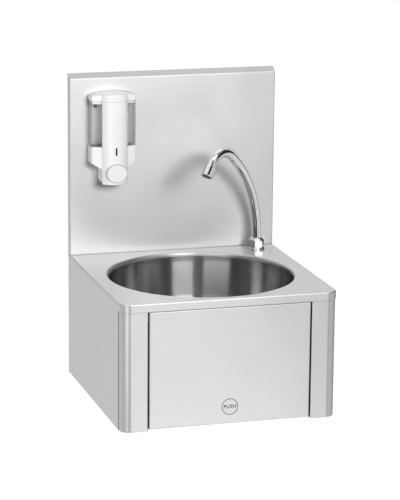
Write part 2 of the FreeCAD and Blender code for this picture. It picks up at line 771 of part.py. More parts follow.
def check_valve(side):
    """Check valve nipple under the tee, with a G 1/2 thread for the supply hose."""
    thread_start = port_seat_depth + inlet_hex_length
    thread_end = port_point(side, thread_start + inlet_thread_length)
    nipple = hexagon(inlet_hex_flats, port_point(side, port_seat_depth), port_point(side, thread_start))
    nipple = nipple.fuse(cylinder(inlet_thread_radius, port_point(side, thread_start), thread_end))
    return nipple.cut(cylinder(inlet_bore_radius, port_point(side, 0), thread_end - Z_AXIS))


def pipe_ends():
    """Where the copper pipe leaves the valve and where it reaches the spout's shank."""
    lower = Vec(outlet_boss_length - pipe_nut_length / 2, outlet_y, push_z)
    upper = spout_point(0, -shank_length - sheet)
    return lower, upper


def outlet_pipe():
    """Bent copper pipe from the valve, back under the bowl and up to the spout."""
    lower, upper = pipe_ends()
    corner_low = Vec(upper.x, outlet_y, push_z)
    corner_high = Vec(upper.x, upper.y, push_z)
    bends = [pipe_bend_radius, pipe_bend_radius]
    path = rounded_path([lower, corner_low, corner_high, upper], bends)
    return tube_along(path, pipe_radius).cut(tube_along(path, pipe_radius - pipe_wall))


def pipe_nut(start, way):
    """Compression nut round the pipe."""
    nut = hexagon(pipe_nut_flats, start, start + way * pipe_nut_length)
    return nut.cut(cylinder(pipe_radius, start - way, start + way * 2 * pipe_nut_length))


def pipe_nut_lower():
    return pipe_nut(Vec(outlet_boss_length, outlet_y, push_z), X_AXIS)


def pipe_nut_upper():
    return pipe_nut(spout_point(0, -shank_length - sheet), Z_AXIS * -1)


# ---- Spout and its deck fixing ------------------------------------------------------------------
def spout_point(reach, z):
    """Point in the spout's plane, at this reach from its axis."""
    angle = math.radians(spout_heading)
    return Vec(spout_x + reach * math.cos(angle), -spout_to_wall + reach * math.sin(angle), z)


def spout_outlet():
    """Outlet point and direction."""
    drop = math.radians(spout_outlet_angle)
    crown = spout_crown()
    way = (spout_point(math.sin(drop), math.cos(drop)) - spout_point(0, 0)).normalize()
    return crown + way * spout_drop, way


def spout_crown():
    """Corner of the crown bend."""
    lean = math.radians(spout_lean)
    return spout_point(spout_neck * math.sin(lean), spout_rise + spout_neck * math.cos(lean))


def spout():
    """Swan-neck tube with a flare that the cap nut holds down."""
    outlet, way = spout_outlet()
    seat = shank_top + touch_gap
    path_end = outlet - way * (aerator_insert_length + aerator_recess)
    path = rounded_path([spout_point(0, seat), spout_point(0, spout_rise), spout_crown(), path_end],
                        [lower_bend_radius, crown_radius])
    flare = cylinder(flare_radius, spout_point(0, seat), spout_point(0, seat + flare_height))
    outside = tube_along(path, tube_radius).fuse(flare)
    return outside.cut(tube_along(path, tube_radius - tube_wall))


def turned_z(profile):
    """Turned piece round the spout's axis: (radius, z) points of one half section."""
    points = [Vec(spout_x + radius, -spout_to_wall, z) for radius, z in profile]
    return Part.Face(Part.makePolygon(points + points[:1])).revolve(spout_point(0, 0), Z_AXIS, 360)


def nose_radius():
    return tube_radius - tube_wall - running_clearance


def oring_height():
    return shank_top + oring_up_nose


def spout_shank():
    """Threaded shank through the deck, with the nose that the spout turns on."""
    bottom = -shank_length - sheet
    nose = nose_radius()
    nose_top = shank_top + shank_nose_length
    groove = nose - 2 * oring_wire_radius + running_clearance / 2
    ring_z = oring_height()
    groove_low, groove_high = ring_z - oring_groove_half, ring_z + oring_groove_half
    return turned_z([
        (shank_bore_radius, bottom), (shank_radius, bottom), (shank_radius, base_height),
        (collar_bore_radius, base_height), (collar_bore_radius, shank_top), (nose, shank_top),
        (nose, groove_low), (groove, groove_low), (groove, groove_high), (nose, groove_high),
        (nose, nose_top), (shank_bore_radius, nose_top)])


def spout_oring():
    """Seal in the nose's groove."""
    middle = nose_radius() - oring_wire_radius + running_clearance / 2
    return Part.makeTorus(middle, oring_wire_radius, spout_point(0, oring_height()), Z_AXIS)


def spout_base():
    """Round base plate between the deck and the cap nut."""
    ring = cylinder(base_radius, spout_point(0, 0), spout_point(0, base_height))
    ring = fillet_at(ring, base_edge_radius, lambda edge: edge.BoundBox.ZMin > base_height - 1e-3)
    return ring.cut(cylinder(shank_radius, spout_point(0, -1), spout_point(0, 2 * base_height)))


def spout_collar():
    """Hexagon cap nut with a domed shoulder, which holds the spout and lets it turn."""
    low, high = base_height, collar_height
    corner = collar_flats / 2 / math.cos(math.pi / 6)
    inner_top = high - collar_top_wall
    nut = hexagon(collar_flats, spout_point(0, low), spout_point(0, high))
    top_radius = tube_radius + collar_top_land
    centre_drop = (corner**2 - top_radius**2 - collar_shoulder**2) / (2 * collar_shoulder)
    centre_z = high - collar_shoulder - centre_drop
    dome = Part.makeSphere(math.hypot(corner, centre_drop), spout_point(0, centre_z))
    round_off = dome.fuse(cylinder(corner, spout_point(0, low - 1), spout_point(0, high - collar_shoulder)))
    nut = nut.common(round_off)
    outer = collar_flats / 2 + 2 * collar_chamfer_width + 1
    chamfer_top = low + collar_chamfer_height * (outer - collar_flats / 2) / (2 * collar_chamfer_width)
    nut = nut.cut(turned_z([(collar_flats / 2, low), (outer, low), (outer, chamfer_top)]))
    nut = nut.cut(cylinder(collar_bore_radius, spout_point(0, low - 1), spout_point(0, inner_top)))
    return nut.cut(cylinder(tube_radius + running_clearance, spout_point(0, low), spout_point(0, high + 5)))


def shank_washer():
    """Fibre washer under the deck."""
    top = -sheet
    ring = cylinder(shank_washer_radius, spout_point(0, top - shank_washer_thickness), spout_point(0, top))
    return ring.cut(cylinder(shank_radius, spout_point(0, -collar_height), spout_point(0, 0)))


def shank_nut():
    """Backnut that clamps the shank to the deck."""
    top = -sheet - shank_washer_thickness
    nut = hexagon(shank_nut_flats, spout_point(0, top - shank_nut_height), spout_point(0, top))
    return nut.cut(cylinder(shank_radius, spout_point(0, -2 * collar_height), spout_point(0, 0)))


def aerator_housing():
    """Screwed sleeve on the end of the spout."""
    outlet, way = spout_outlet()
    start = outlet - way * aerator_length
    sleeve = cylinder(aerator_radius, start, outlet)
    sleeve = fillet_at(sleeve, aerator_edge_radius, lambda edge: isinstance(edge.Curve, Part.Circle))
    return sleeve.cut(cylinder(tube_radius, start - way, outlet + way))


def aerator_insert():
    """Slotted jet plate inside the sleeve, against the end of the tube."""
    outlet, way = spout_outlet()
    face = outlet - way * aerator_recess
    plug = cylinder(tube_radius, face - way * aerator_insert_length, face)
    side = way.cross(Z_AXIS).normalize()
    up = side.cross(way)
    for step in range(jet_count):
        angle = 2 * math.pi * step / jet_count
        hole = face + side * (jet_circle * math.cos(angle)) + up * (jet_circle * math.sin(angle))
        plug = plug.cut(cylinder(jet_radius, hole - way * jet_depth, hole + way))
    return plug


# ---- Waste --------------------------------------------------------------------------------------
def at_waste(radius, z):
    return Vec(radius, -bowl_to_wall, z)


def turned_waste(profile):
    """Turned piece round the bowl axis."""
    points = [at_waste(radius, z) for radius, z in profile]
    return Part.Face(Part.makePolygon(points + points[:1])).revolve(at_waste(0, 0), Z_AXIS, 360)


def seal_ring(top):
    ring = cylinder(waste_flange_radius, at_waste(0, top - seal_thickness), at_waste(0, top))
    return ring.cut(cylinder(waste_hole_radius, at_waste(0, top - waste_tail_length), at_waste(0, top + 1)))


def upper_seal():
    return seal_ring(bowl_floor_z + seal_thickness)


def lower_seal():
    return seal_ring(bowl_floor_z - sheet)


def waste_strainer():
    """Dished strainer with a ring of holes round its screw."""
    rim_z = bowl_floor_z + seal_thickness
    top = rim_z + strainer_thickness
    inner = waste_hole_radius - strainer_dish
    step_in = strainer_thickness * math.tan(math.pi / 8)
    plate = turned_waste([
        (screw_hole_radius(), top - strainer_dish), (inner, top - strainer_dish), (waste_hole_radius, top),
        (strainer_radius - strainer_bevel, top), (strainer_radius, rim_z),
        (waste_hole_radius - step_in, rim_z), (inner - step_in, rim_z - strainer_dish),
        (screw_hole_radius(), rim_z - strainer_dish)])
    for step in range(strainer_hole_count):
        angle = 2 * math.pi * step / strainer_hole_count
        place = at_waste(strainer_hole_circle * math.cos(angle), 0)
        place.y += strainer_hole_circle * math.sin(angle)
        down = Vec(place.x, place.y, bowl_floor_z - 4 * strainer_dish)
        plate = plate.cut(cylinder(strainer_hole_radius, down, Vec(place.x, place.y, 0)))
    return plate


def screw_hole_radius():
    return strainer_screw_radius + 2 * running_clearance


def strainer_screw():
    """Countersunk screw that pulls the strainer down to the waste body."""
    seat = bowl_floor_z + seal_thickness + strainer_thickness - strainer_dish
    head = Part.makeCone(strainer_screw_head_radius, strainer_screw_radius, strainer_screw_head_height,
                         at_waste(0, seat), Z_AXIS)
    shaft = cylinder(strainer_screw_radius, at_waste(0, bridge_top() - bridge_height), at_waste(0, seat))
    return head.fuse(shaft)


def flange_z():
    return bowl_floor_z - sheet - seal_thickness


def bridge_top():
    return flange_z() - bridge_below_flange


def waste_body():
    """Waste body: flange under the bowl, threaded tail and a bridge for the screw."""
    top = flange_z()
    bottom = top - waste_tail_length
    under_flange = top - waste_flange_thickness
    tail = turned_waste([
        (waste_bore_radius, top), (waste_flange_radius, top), (waste_flange_radius, under_flange),
        (waste_thread_radius, under_flange), (waste_thread_radius, bottom + thread_chamfer),
        (waste_thread_radius - thread_chamfer, bottom), (waste_bore_radius, bottom)])
    low, high = bridge_top() - bridge_height, bridge_top()
    reach, half = (waste_bore_radius + waste_thread_radius) / 2, bridge_half_thickness
    bars = [block(-reach, reach, -bowl_to_wall - half, -bowl_to_wall + half, low, high),
            block(-half, half, -bowl_to_wall - reach, -bowl_to_wall + reach, low, high)]
    hub = cylinder(bridge_hub_radius, at_waste(0, low), at_waste(0, high))
    body = tail.fuse(bars + [hub])
    return body.cut(cylinder(screw_hole_radius(), at_waste(0, bottom), at_waste(0, top)))


# ---- Soap dispenser -----------------------------------------------------------------------------
def soap_point(x, reach, z):
    """Point beside the dispenser's middle, at this reach from the splashback's face."""
    return Vec(soap_x + x, soap_y - reach, z)


def soap_plan(inset, back, z):
    """Plan of the dispenser's side housings: flat sides and sloped front faces."""
    side = soap_half_width - inset
    points = [soap_point(-side, back, z), soap_point(side, back, z),
              soap_point(side, soap_side_depth - inset, z),
              soap_point(band_half_width, soap_face_depth - inset, z),
              soap_point(-band_half_width, soap_face_depth - inset, z),
              soap_point(-side, soap_side_depth - inset, z)]
    round_corner = max(soap_corner_radius - inset, sheet)
    return Part.Face(closed_wire(points, [0, 0, round_corner, 0, 0, round_corner]))


def band_plan(inset, back, z):
    """Plan of the crowned front band."""
    half = band_half_width - inset
    left, right = soap_point(-half, back, z), soap_point(half, back, z)
    front_left = soap_point(-half, band_edge_depth - inset, z)
    front_right = soap_point(half, band_edge_depth - inset, z)
    crown = Part.Arc(front_right, soap_point(0, band_depth - inset, z), front_left).toShape()
    sides = [Part.LineSegment(left, right).toShape(), Part.LineSegment(right, front_right).toShape(), crown,
             Part.LineSegment(front_left, left).toShape()]
    return Part.Face(Part.Wire(sides))


def raised(face, height):
    return face.extrude(Z_AXIS * height)


def housing_wedge(inset):
    """Side housing volume, cut off by the slopes that run down to the stem."""
    low, high, top = housing_inner_bottom + inset, housing_outer_bottom + inset, housing_top - inset
    body = raised(soap_plan(inset, -inset, low), top - low)
    for side in (-1, 1):
        far = side * 2 * soap_half_width
        slope = (high - low) / (soap_half_width - band_half_width)
        far_z = low + slope * (abs(far) - band_half_width)
        near = side * band_half_width
        corners = [soap_point(near, -1, low), soap_point(far, -1, far_z),
                   soap_point(far, -1, 0), soap_point(near, -1, 0)]
        under = Part.Face(Part.makePolygon(corners + corners[:1])).extrude(Y_AXIS * -2 * band_depth)
        body = body.cut(under)
    return body


def soap_front():
    """White front moulding: band, side housings and stem, open at the back and below the stem."""
    band_height = lid_bottom - lid_gap - soap_bottom
    band_back = soap_face_depth - container_inset + touch_gap
    outer = raised(band_plan(0, band_back, soap_bottom), band_height)
    stem = raised(band_plan(0, 0, soap_bottom), shelf_height)
    stem = fillet_at(stem, stem_corner_radius,
                     lambda edge: edge.BoundBox.ZMax < soap_bottom + 1e-3 and edge.BoundBox.XLength < 1e-3)
    outer = outer.fuse([stem, housing_wedge(0)])
    inner = raised(band_plan(soap_wall, band_back - 1, soap_bottom - 1), band_height + 1 - soap_wall)
    passage = raised(band_plan(soap_wall, -1, soap_bottom - 1), shelf_height + 1 - soap_wall)
    moulding = outer.cut(inner.fuse([passage, housing_wedge(soap_wall)]))
    moulding = moulding.cut(button_hole(button_clearance, band_edge_depth / 2, 2 * band_depth))
    moulding = moulding.cut(rounded_slot(slot_width, slot_length, band_edge_depth, 2 * band_depth))
    feed = soap_point(0, spigot_depth, housing_top)
    moulding = moulding.cut(cylinder(spigot_radius + touch_gap, feed - Z_AXIS * 2 * soap_wall, feed + Z_AXIS))
    half = soap_half_width - soap_wall
    front = soap_y - backplate_thickness - touch_gap
    shelf_z = housing_top - 2 * soap_wall
    return moulding.cut(block(soap_x - half, soap_x + half, front, 0, shelf_z, housing_top))


def button_hole(clearance, near, far):
    """Elliptical prism round the button's axis, between two reaches."""
    centre = soap_point(0, near, button_height)
    ellipse = Part.Ellipse(centre + X_AXIS * (button_half_width + clearance),
                           centre + Z_AXIS * (button_half_height + clearance), centre)
    return Part.Face(Part.Wire(ellipse.toShape())).extrude(Y_AXIS * -(far - near))


def rounded_slot(slot_size, length, near, far):
    """Upright slot with round ends."""
    half = (length - slot_size) / 2
    low = soap_point(0, near, slot_height - half)
    high = soap_point(0, near, slot_height + half)
    way = Y_AXIS * -(far - near)
    ends = [cylinder(slot_size / 2, point, point + way) for point in (low, high)]
    middle = block(soap_x - slot_size / 2, soap_x + slot_size / 2, low.y + way.y, low.y, low.z, high.z)
    return ends[0].fuse([ends[1], middle])


def slot_insert():
    """Dark key block behind the slot."""
    far = band_depth - slot_insert_recess
    return rounded_slot(slot_width, slot_length, far - slot_insert_depth, far)


def soap_button():
    """Push button: elliptical cap with a skirt and a hub for the piston."""
    near = button_face_depth - button_skirt
    cap = button_hole(0, near, button_face_depth)
    front = soap_point(0, button_face_depth, button_height).y
    cap = fillet_at(cap, button_edge_radius, lambda edge: edge.BoundBox.YMax < front + 1e-3)
    hollow = button_hole(-button_wall, near - 1, button_face_depth - button_wall)
    return cap.cut(hollow)


def pump_line(reach):
    return soap_point(0, reach, button_height)


def pump_piston():
    """Piston rod from the button into the pump."""
    back = backplate_thickness + pump_length - piston_reach
    return cylinder(piston_radius, pump_line(back), pump_line(button_face_depth - button_wall))


def pump_body():
    """Pump cylinder on the back plate, with the inlet boss under the container."""
    near = backplate_thickness
    far = near + pump_length
    barrel = cylinder(pump_radius, pump_line(near), pump_line(far))
    boss_top = housing_top - 2 * soap_wall
    boss = cylinder(inlet_boss_radius, soap_point(0, spigot_depth, button_height),
                    soap_point(0, spigot_depth, boss_top))
    body = barrel.fuse(boss)
    bore = cylinder(piston_radius + running_clearance, pump_line(far - pump_bore_depth), pump_line(far + 1))
    socket_floor = housing_top - spigot_length - touch_gap
    socket = cylinder(spigot_radius + running_clearance * 2, soap_point(0, spigot_depth, socket_floor),
                      soap_point(0, spigot_depth, housing_top))
    return body.cut(bore).cut(socket)


def pump_spring():
    """Return spring between the pump and the button."""
    front_seat = pump_line(button_face_depth - button_wall)
    back_seat = pump_line(backplate_thickness + pump_length)
    return coil_spring(pump_spring_radius, spring_wire_radius, pump_spring_turns, front_seat, back_seat)


def soap_nozzle():
    """Nozzle under the pump, inside the open stem."""
    top = button_height - math.sqrt(pump_radius**2 - nozzle_radius**2)
    bottom = button_height - pump_radius - nozzle_length
    bore_top = button_height - pump_radius - nozzle_bore_radius
    foot = soap_point(0, spigot_depth, bottom)
    pipe = cylinder(nozzle_radius, foot, soap_point(0, spigot_depth, top))
    pipe = pipe.cut(cylinder(pump_radius, pump_line(0), pump_line(band_depth)))
    return pipe.cut(cylinder(nozzle_bore_radius, foot, soap_point(0, spigot_depth, bore_top)))


def soap_container():
    """Open-topped soap container with the outlet spigot under its floor."""
    back = backplate_thickness + touch_gap
    height = lid_bottom - lid_gap - housing_top
    outer = raised(soap_plan(container_inset, back, housing_top), height)
    wall = container_wall
    inner = raised(soap_plan(container_inset + wall, back + wall, housing_top + wall), height)
    spigot_top = soap_point(0, spigot_depth, housing_top + container_wall / 2)
    spigot_end = soap_point(0, spigot_depth, housing_top - spigot_length)
    shell = outer.cut(inner).fuse(cylinder(spigot_radius, spigot_end, spigot_top))
    bore_end = spigot_top + Z_AXIS * 2 * wall
    return shell.cut(cylinder(spigot_radius - spigot_wall, spigot_end - Z_AXIS, bore_end))


def soap_lid():
    """Lid over the container and the band: arched top and a plug that sits in the container."""
    side_top = lid_side_height + lid_bottom
    crown_z = side_top + lid_crown
    tall = lid_side_height + lid_crown + 1
    outer = raised(soap_plan(0, lid_gap, lid_bottom), tall)
    outer = outer.fuse(raised(band_plan(0, lid_gap, lid_bottom), tall))
    arch_radius = (soap_half_width**2 + lid_crown**2) / (2 * lid_crown)

    def arch(lowered):
        axis = soap_point(0, -1, crown_z - arch_radius)
        return Part.makeCylinder(arch_radius - lowered, 2 * band_depth, axis, Y_AXIS * -1)

    outer = fillet_at(outer.removeSplitter().common(arch(0)), lid_edge_radius,
                      lambda edge: edge.BoundBox.ZMin > side_top - 1e-3
                      and edge.BoundBox.YMin < soap_y - lid_gap - 1e-3)
    wall = soap_wall
    inner = raised(soap_plan(wall, wall, lid_bottom - 1), tall)
    inner = inner.fuse(raised(band_plan(wall, wall, lid_bottom - 1), tall))
    lid = outer.cut(inner.common(arch(wall)))
    plug_back = backplate_thickness + touch_gap + container_wall + lid_plug_clearance
    plug_inset = container_inset + container_wall + lid_plug_clearance
    plug_height = lid_plug_depth + lid_side_height
    plug = raised(soap_plan(plug_inset, plug_back, lid_bottom - lid_plug_depth), plug_height)
    hollow = raised(soap_plan(plug_inset + wall, plug_back + wall, lid_bottom - lid_plug_depth), plug_height)
    return lid.fuse(plug.cut(hollow))


def soap_backplate():
    """Back plate screwed to the splashback: wide behind the container, narrow in the stem."""
    wide = soap_half_width - soap_wall - backplate_clearance
    narrow = band_half_width - soap_wall - backplate_clearance
    step = housing_outer_bottom + soap_wall + backplate_clearance
    low = soap_bottom + 2 * soap_wall
    front = soap_y - backplate_thickness
    plate = block(soap_x - wide, soap_x + wide, front, soap_y, step, lid_bottom - 2 * lid_gap)
    plate = plate.fuse(block(soap_x - narrow, soap_x + narrow, front, soap_y, low, step))
    for place in soap_screw_places():
        plate = plate.cut(screw_shape(place, 2 * running_clearance, False))
    return plate


def soap_screw_places():
    """Screw axes on the splashback's face."""
    return [soap_point(side * screw_spread, 0, z) for z in screw_rows for side in (-1, 1)]


def screw_shape(place, clearance, with_nut):
    """Countersunk screw through the back plate and the splashback."""
    head_face = place - Y_AXIS * backplate_thickness
    head = Part.makeCone(screw_head_radius + clearance, screw_radius + clearance, screw_head_height,
                         head_face, Y_AXIS)
    screw = head.fuse(cylinder(screw_radius + clearance, head_face, place + Y_AXIS * screw_tail))
    if with_nut:
        inside = place + Y_AXIS * sheet
        screw = screw.fuse(hexagon(2 * screw_nut_radius, inside, inside + Y_AXIS * screw_nut_thickness))
    return screw


def soap_screws():
    """The four screws with their nuts, as one group."""
    return Part.makeCompound([screw_shape(place, 0, True).removeSplitter() for place in soap_screw_places()])


# ---- The whole sink -----------------------------------------------------------------------------
def build():
    os.makedirs("parts", exist_ok=True)
    pieces = {
        "deck": deck(),
        "bowl": bowl(),
        "splashback": splashback(),
        "side_panel_left": side_panel(),
        "side_panel_right": mirrored(side_panel()),
        "corner_post_left": corner_post(),
        "corner_post_right": mirrored(corner_post()),
        "wall_rail": wall_rail(),
        "valve_rail": valve_rail(),
        "knee_panel": knee_panel(),
        "hinge_pin_left": hinge_pin(),
        "hinge_pin_right": mirrored(hinge_pin()),
        "hinge_bush_left": hinge_bush(),
        "hinge_bush_right": mirrored(hinge_bush()),
        "travel_screw_left": travel_screw(),
        "travel_screw_right": mirrored(travel_screw()),
        "striker_pad": striker_pad(),
        "valve_body": valve_body(),
        "valve_locknut": valve_locknut(),
        "valve_plunger": valve_plunger(),
        "valve_spring": valve_spring(),
        "mixing_tee": mixing_tee(),
        "check_valve_cold": check_valve(1),
        "check_valve_hot": check_valve(-1),
        "outlet_pipe": outlet_pipe(),
        "pipe_nut_lower": pipe_nut_lower(),
        "pipe_nut_upper": pipe_nut_upper(),
        "spout_shank": spout_shank(),
        "spout_oring": spout_oring(),
        "spout_base": spout_base(),
        "spout_collar": spout_collar(),
        "shank_washer": shank_washer(),
        "shank_nut": shank_nut(),
        "spout": spout(),
        "aerator_housing": aerator_housing(),
        "aerator_insert": aerator_insert(),
        "waste_strainer": waste_strainer(),
        "strainer_screw": strainer_screw(),
        "upper_seal": upper_seal(),
        "lower_seal": lower_seal(),
        "waste_body": waste_body(),
        "soap_backplate": soap_backplate(),
        "soap_screws": soap_screws(),
        "soap_container": soap_container(),
        "soap_front": soap_front(),
        "slot_insert": slot_insert(),
        "soap_lid": soap_lid(),
        "soap_button": soap_button(),
        "pump_piston": pump_piston(),
        "pump_spring": pump_spring(),
        "pump_body": pump_body(),
        "soap_nozzle": soap_nozzle(),
    }
    for name, shape in pieces.items():
        save(name, shape)
    print("knee stroke at the valve:", round(knee_stroke, 2))


build()
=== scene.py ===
# %% [markdown]
# A stainless steel hand wash sink for a kitchen wall. The folded sheets, the pressed bowl, the spout and
# the soap dispenser all come from the CAD model as exact solids, so this lesson is about their looks: how
# brushed steel, polished chrome and moulded plastic are made from nodes, and how a small studio makes bare
# metal readable. Lengths are in metres in the frame of the CAD model, with z up and y into the wall.

# %% Load the CAD model as a fixed frame
import json
import math

import bmesh
import bpy
from mathutils import Matrix, Vector

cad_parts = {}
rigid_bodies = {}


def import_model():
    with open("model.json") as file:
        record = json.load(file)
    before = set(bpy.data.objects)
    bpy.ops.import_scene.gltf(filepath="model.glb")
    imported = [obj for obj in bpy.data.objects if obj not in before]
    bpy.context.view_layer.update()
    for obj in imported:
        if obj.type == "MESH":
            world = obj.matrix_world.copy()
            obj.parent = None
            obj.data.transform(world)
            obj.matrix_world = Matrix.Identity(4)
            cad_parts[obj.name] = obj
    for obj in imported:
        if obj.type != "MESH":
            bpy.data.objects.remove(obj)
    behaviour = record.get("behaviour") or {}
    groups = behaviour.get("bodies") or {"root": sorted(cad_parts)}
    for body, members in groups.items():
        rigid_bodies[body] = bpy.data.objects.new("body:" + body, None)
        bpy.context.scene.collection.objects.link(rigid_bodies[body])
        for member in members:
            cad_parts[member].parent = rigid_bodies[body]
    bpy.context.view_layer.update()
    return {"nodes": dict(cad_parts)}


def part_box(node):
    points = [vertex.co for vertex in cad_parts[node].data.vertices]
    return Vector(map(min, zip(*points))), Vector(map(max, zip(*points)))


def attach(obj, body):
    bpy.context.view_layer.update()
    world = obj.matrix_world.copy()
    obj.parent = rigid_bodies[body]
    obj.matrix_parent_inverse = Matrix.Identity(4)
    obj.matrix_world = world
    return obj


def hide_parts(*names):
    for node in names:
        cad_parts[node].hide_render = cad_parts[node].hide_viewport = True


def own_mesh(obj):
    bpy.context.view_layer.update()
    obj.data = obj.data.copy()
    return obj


for leftover in list(bpy.data.objects):
    bpy.data.objects.remove(leftover)
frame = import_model()

# %% [markdown]
# The camera stands well back and uses a long lens, as a catalogue photographer does, so the box of the sink
# hardly tapers. A camera in Blender is an object with a lens in millimetres and a sensor; the sensor width
# belongs to the longer side of the picture. A constraint could aim it, but three plain turns are easier to
# nudge until each edge lies where it should: tilt, roll and heading.

# %% Camera
LENS_MM = 170.24
SENSOR_MM = 36.0
CAMERA_PLACE = Vector((-1.18837, -4.23493, 1.08733))
CAMERA_TURNS = (76.617, -0.508, -16.297)     # tilt, roll and heading in degrees
SINK_MIDDLE = Vector((0.0, -0.2, 0.1))

camera_data = bpy.data.cameras.new("camera")
camera_data.lens = LENS_MM
camera_data.sensor_width = SENSOR_MM
camera = bpy.data.objects.new("camera", camera_data)
camera.location = CAMERA_PLACE
camera.rotation_euler = [math.radians(turn) for turn in CAMERA_TURNS]
bpy.context.scene.collection.objects.link(camera)
bpy.context.scene.camera = camera
bpy.context.scene.view_settings.view_transform = "Standard"
print("camera", round((CAMERA_PLACE - SINK_MIDDLE).length, 2), "m from the sink")

# %% [markdown]
# Every material here is a small tree of nodes. Trees can be drawn by hand in the shader editor, but written
# as code they can be read, repeated and changed by one number. A few helpers keep the cells short: one
# places a node with its options and inputs, and the others do one step of arithmetic with numbers, vectors
# or colours. An input is either a plain value or the output of another node.

# %% Helpers for node trees
def place(tree, kind, inputs=None, **options):
    """Add one node; options are its settings, inputs its sockets by name or number."""
    node = tree.nodes.new(kind)
    for name, value in options.items():
        setattr(node, name, value)
    for name, value in (inputs or {}).items():
        if isinstance(value, bpy.types.NodeSocket):
            tree.links.new(value, node.inputs[name])
        else:
            node.inputs[name].default_value = value
    return node


def maths(tree, operation, first, second=0.0, third=0.0):
    """One step of arithmetic with numbers."""
    return place(tree, "ShaderNodeMath", {0: first, 1: second, 2: third}, operation=operation).outputs[0]


def vector_maths(tree, operation, first, second):
    """One step of arithmetic with vectors or colours."""
    return place(tree, "ShaderNodeVectorMath", {0: first, 1: second}, operation=operation).outputs[0]


def between(tree, value, low, high, to_low=0.0, to_high=1.0):
    """Carry a value from one range to another, held at both ends."""
    node = place(tree, "ShaderNodeMapRange",
                 {"Value": value, "From Min": low, "From Max": high, "To Min": to_low, "To Max": to_high})
    return node.outputs["Result"]


def mixed_colour(tree, share, first, second):
    """A colour between two others: share 0 gives the first and share 1 the second."""
    node = place(tree, "ShaderNodeMix", {0: share, "A": first, "B": second}, data_type="RGBA")
    return node.outputs["Result"]


def opaque(colour):
    """A colour as a socket wants it, with a fourth number that says it isn't see-through."""
    return (*colour, 1.0)


def grey(level):
    """A grey as a socket wants it."""
    return opaque((level, level, level))


print("a socket takes white as", grey(1.0))

# %% [markdown]
# An effect that several materials share, such as a grain, belongs in a node group: it is built once, and
# each material places it with its own values. A new group is empty, so its sockets are made first, through
# the group's interface, and then the two nodes that carry them inside.

# %% Helpers for node groups
def new_group(name, inputs, outputs):
    """An empty shader group; inputs are (name, kind, value), outputs are (name, kind)."""
    group = bpy.data.node_groups.new(name, "ShaderNodeTree")
    for label, kind, value in inputs:
        socket = group.interface.new_socket(label, in_out="INPUT", socket_type="NodeSocket" + kind)
        socket.default_value = value
    for label, kind in outputs:
        group.interface.new_socket(label, in_out="OUTPUT", socket_type="NodeSocket" + kind)
    entry = group.nodes.new("NodeGroupInput").outputs
    result = group.nodes.new("NodeGroupOutput").inputs
    return group, entry, result


def use_group(tree, group, inputs=None):
    """Place a group in a tree with its own values, and give its outputs."""
    return place(tree, "ShaderNodeGroup", inputs, node_tree=group).outputs


# %% [markdown]
# Bare metal has no look of its own: it shows the room. A photographer puts white paper and black cloth
# round the object, and each turn of a tube or a fold then catches a stripe. Cards could be modelled for
# that, but they would cast shadows and hide the sink from some sides. Here the stripes are lists by compass
# heading, in three rows, and one group turns a direction into the brightness that stands there. The world
# and the floor both use it.

# %% Group: what stands round the sink
# heading in degrees from straight behind the sink, by the right, and how bright the studio is there
LOW_STUDIO = [(0, 0.82), (9, 0.20), (62, 0.15), (73, 0.65), (114, 0.82), (136, 0.75), (147, 0.31),
              (186, 0.31), (200, 0.05), (228, 0.05), (235, 0.75), (300, 0.92), (325, 0.95), (338, 0.79),
              (360, 0.82)]
HIGH_STUDIO = [(0, 0.92), (34, 0.92), (48, 0.03), (114, 0.03), (122, 0.85), (138, 0.85), (145, 0.03),
               (259, 0.02), (263, 0.40), (276, 0.40), (281, 0.15), (325, 0.15), (338, 0.92), (360, 0.92)]
TOP_STUDIO = [(0, 0.85), (40, 0.85), (60, 0.28), (190, 0.28), (197, 1.0), (330, 1.0), (336, 0.85),
              (360, 0.85)]
FULL_TURN = 360
# how far upwards a direction points, from 0 for level to 1 for straight up, where a row starts and is full
HIGH_STARTS = (-0.02, 0.06)
TOP_STARTS = (0.66, 0.72)


def stripes(group, turn, stops):
    """A colour ramp that runs once round the compass."""
    headings = place(group, "ShaderNodeValToRGB", {0: turn})
    ramp = headings.color_ramp
    while len(ramp.elements) > 1:
        ramp.elements.remove(ramp.elements[-1])
    for count, (degrees, level) in enumerate(stops):
        stop = ramp.elements[0] if count == 0 else ramp.elements.new(degrees / FULL_TURN)
        stop.position = degrees / FULL_TURN
        stop.color = grey(level)
    return headings.outputs["Color"]


def studio_group():
    """Brightness of the studio in a direction: a low, a high and a top row of paper and cloth."""
    group, entry, result = new_group(
        "studio surroundings", [("Direction", "Vector", (0.0, 1.0, 0.0))], [("Level", "Color")])
    way = place(group, "ShaderNodeSeparateXYZ", {0: entry["Direction"]}).outputs
    heading = maths(group, "ARCTAN2", way["X"], way["Y"])
    turn = maths(group, "FRACT", maths(group, "DIVIDE", heading, 2 * math.pi))
    rows = stripes(group, turn, LOW_STUDIO)
    for stops, (start, full) in ((HIGH_STUDIO, HIGH_STARTS), (TOP_STUDIO, TOP_STARTS)):
        share = between(group, way["Z"], start, full)
        rows = mixed_colour(group, share, rows, stripes(group, turn, stops))
    group.links.new(rows, result["Level"])
    return group


STUDIO_ROUND = studio_group()
print("studio has", len(LOW_STUDIO) + len(HIGH_STUDIO) + len(TOP_STUDIO), "stops in three rows")

# %% [markdown]
# The world looks white to the camera, shows the paper and cloth to reflections and sends one plain level of
# light to matt surfaces. A Light Path node tells which kind of ray is asking. Light sampling is switched
# off for this world, because a sampled ray has no kind and would get the wrong answer.

# %% World: white to look at, plain to be lit by
WORLD_LIGHT = 0.31           # what matt surfaces receive from all sides

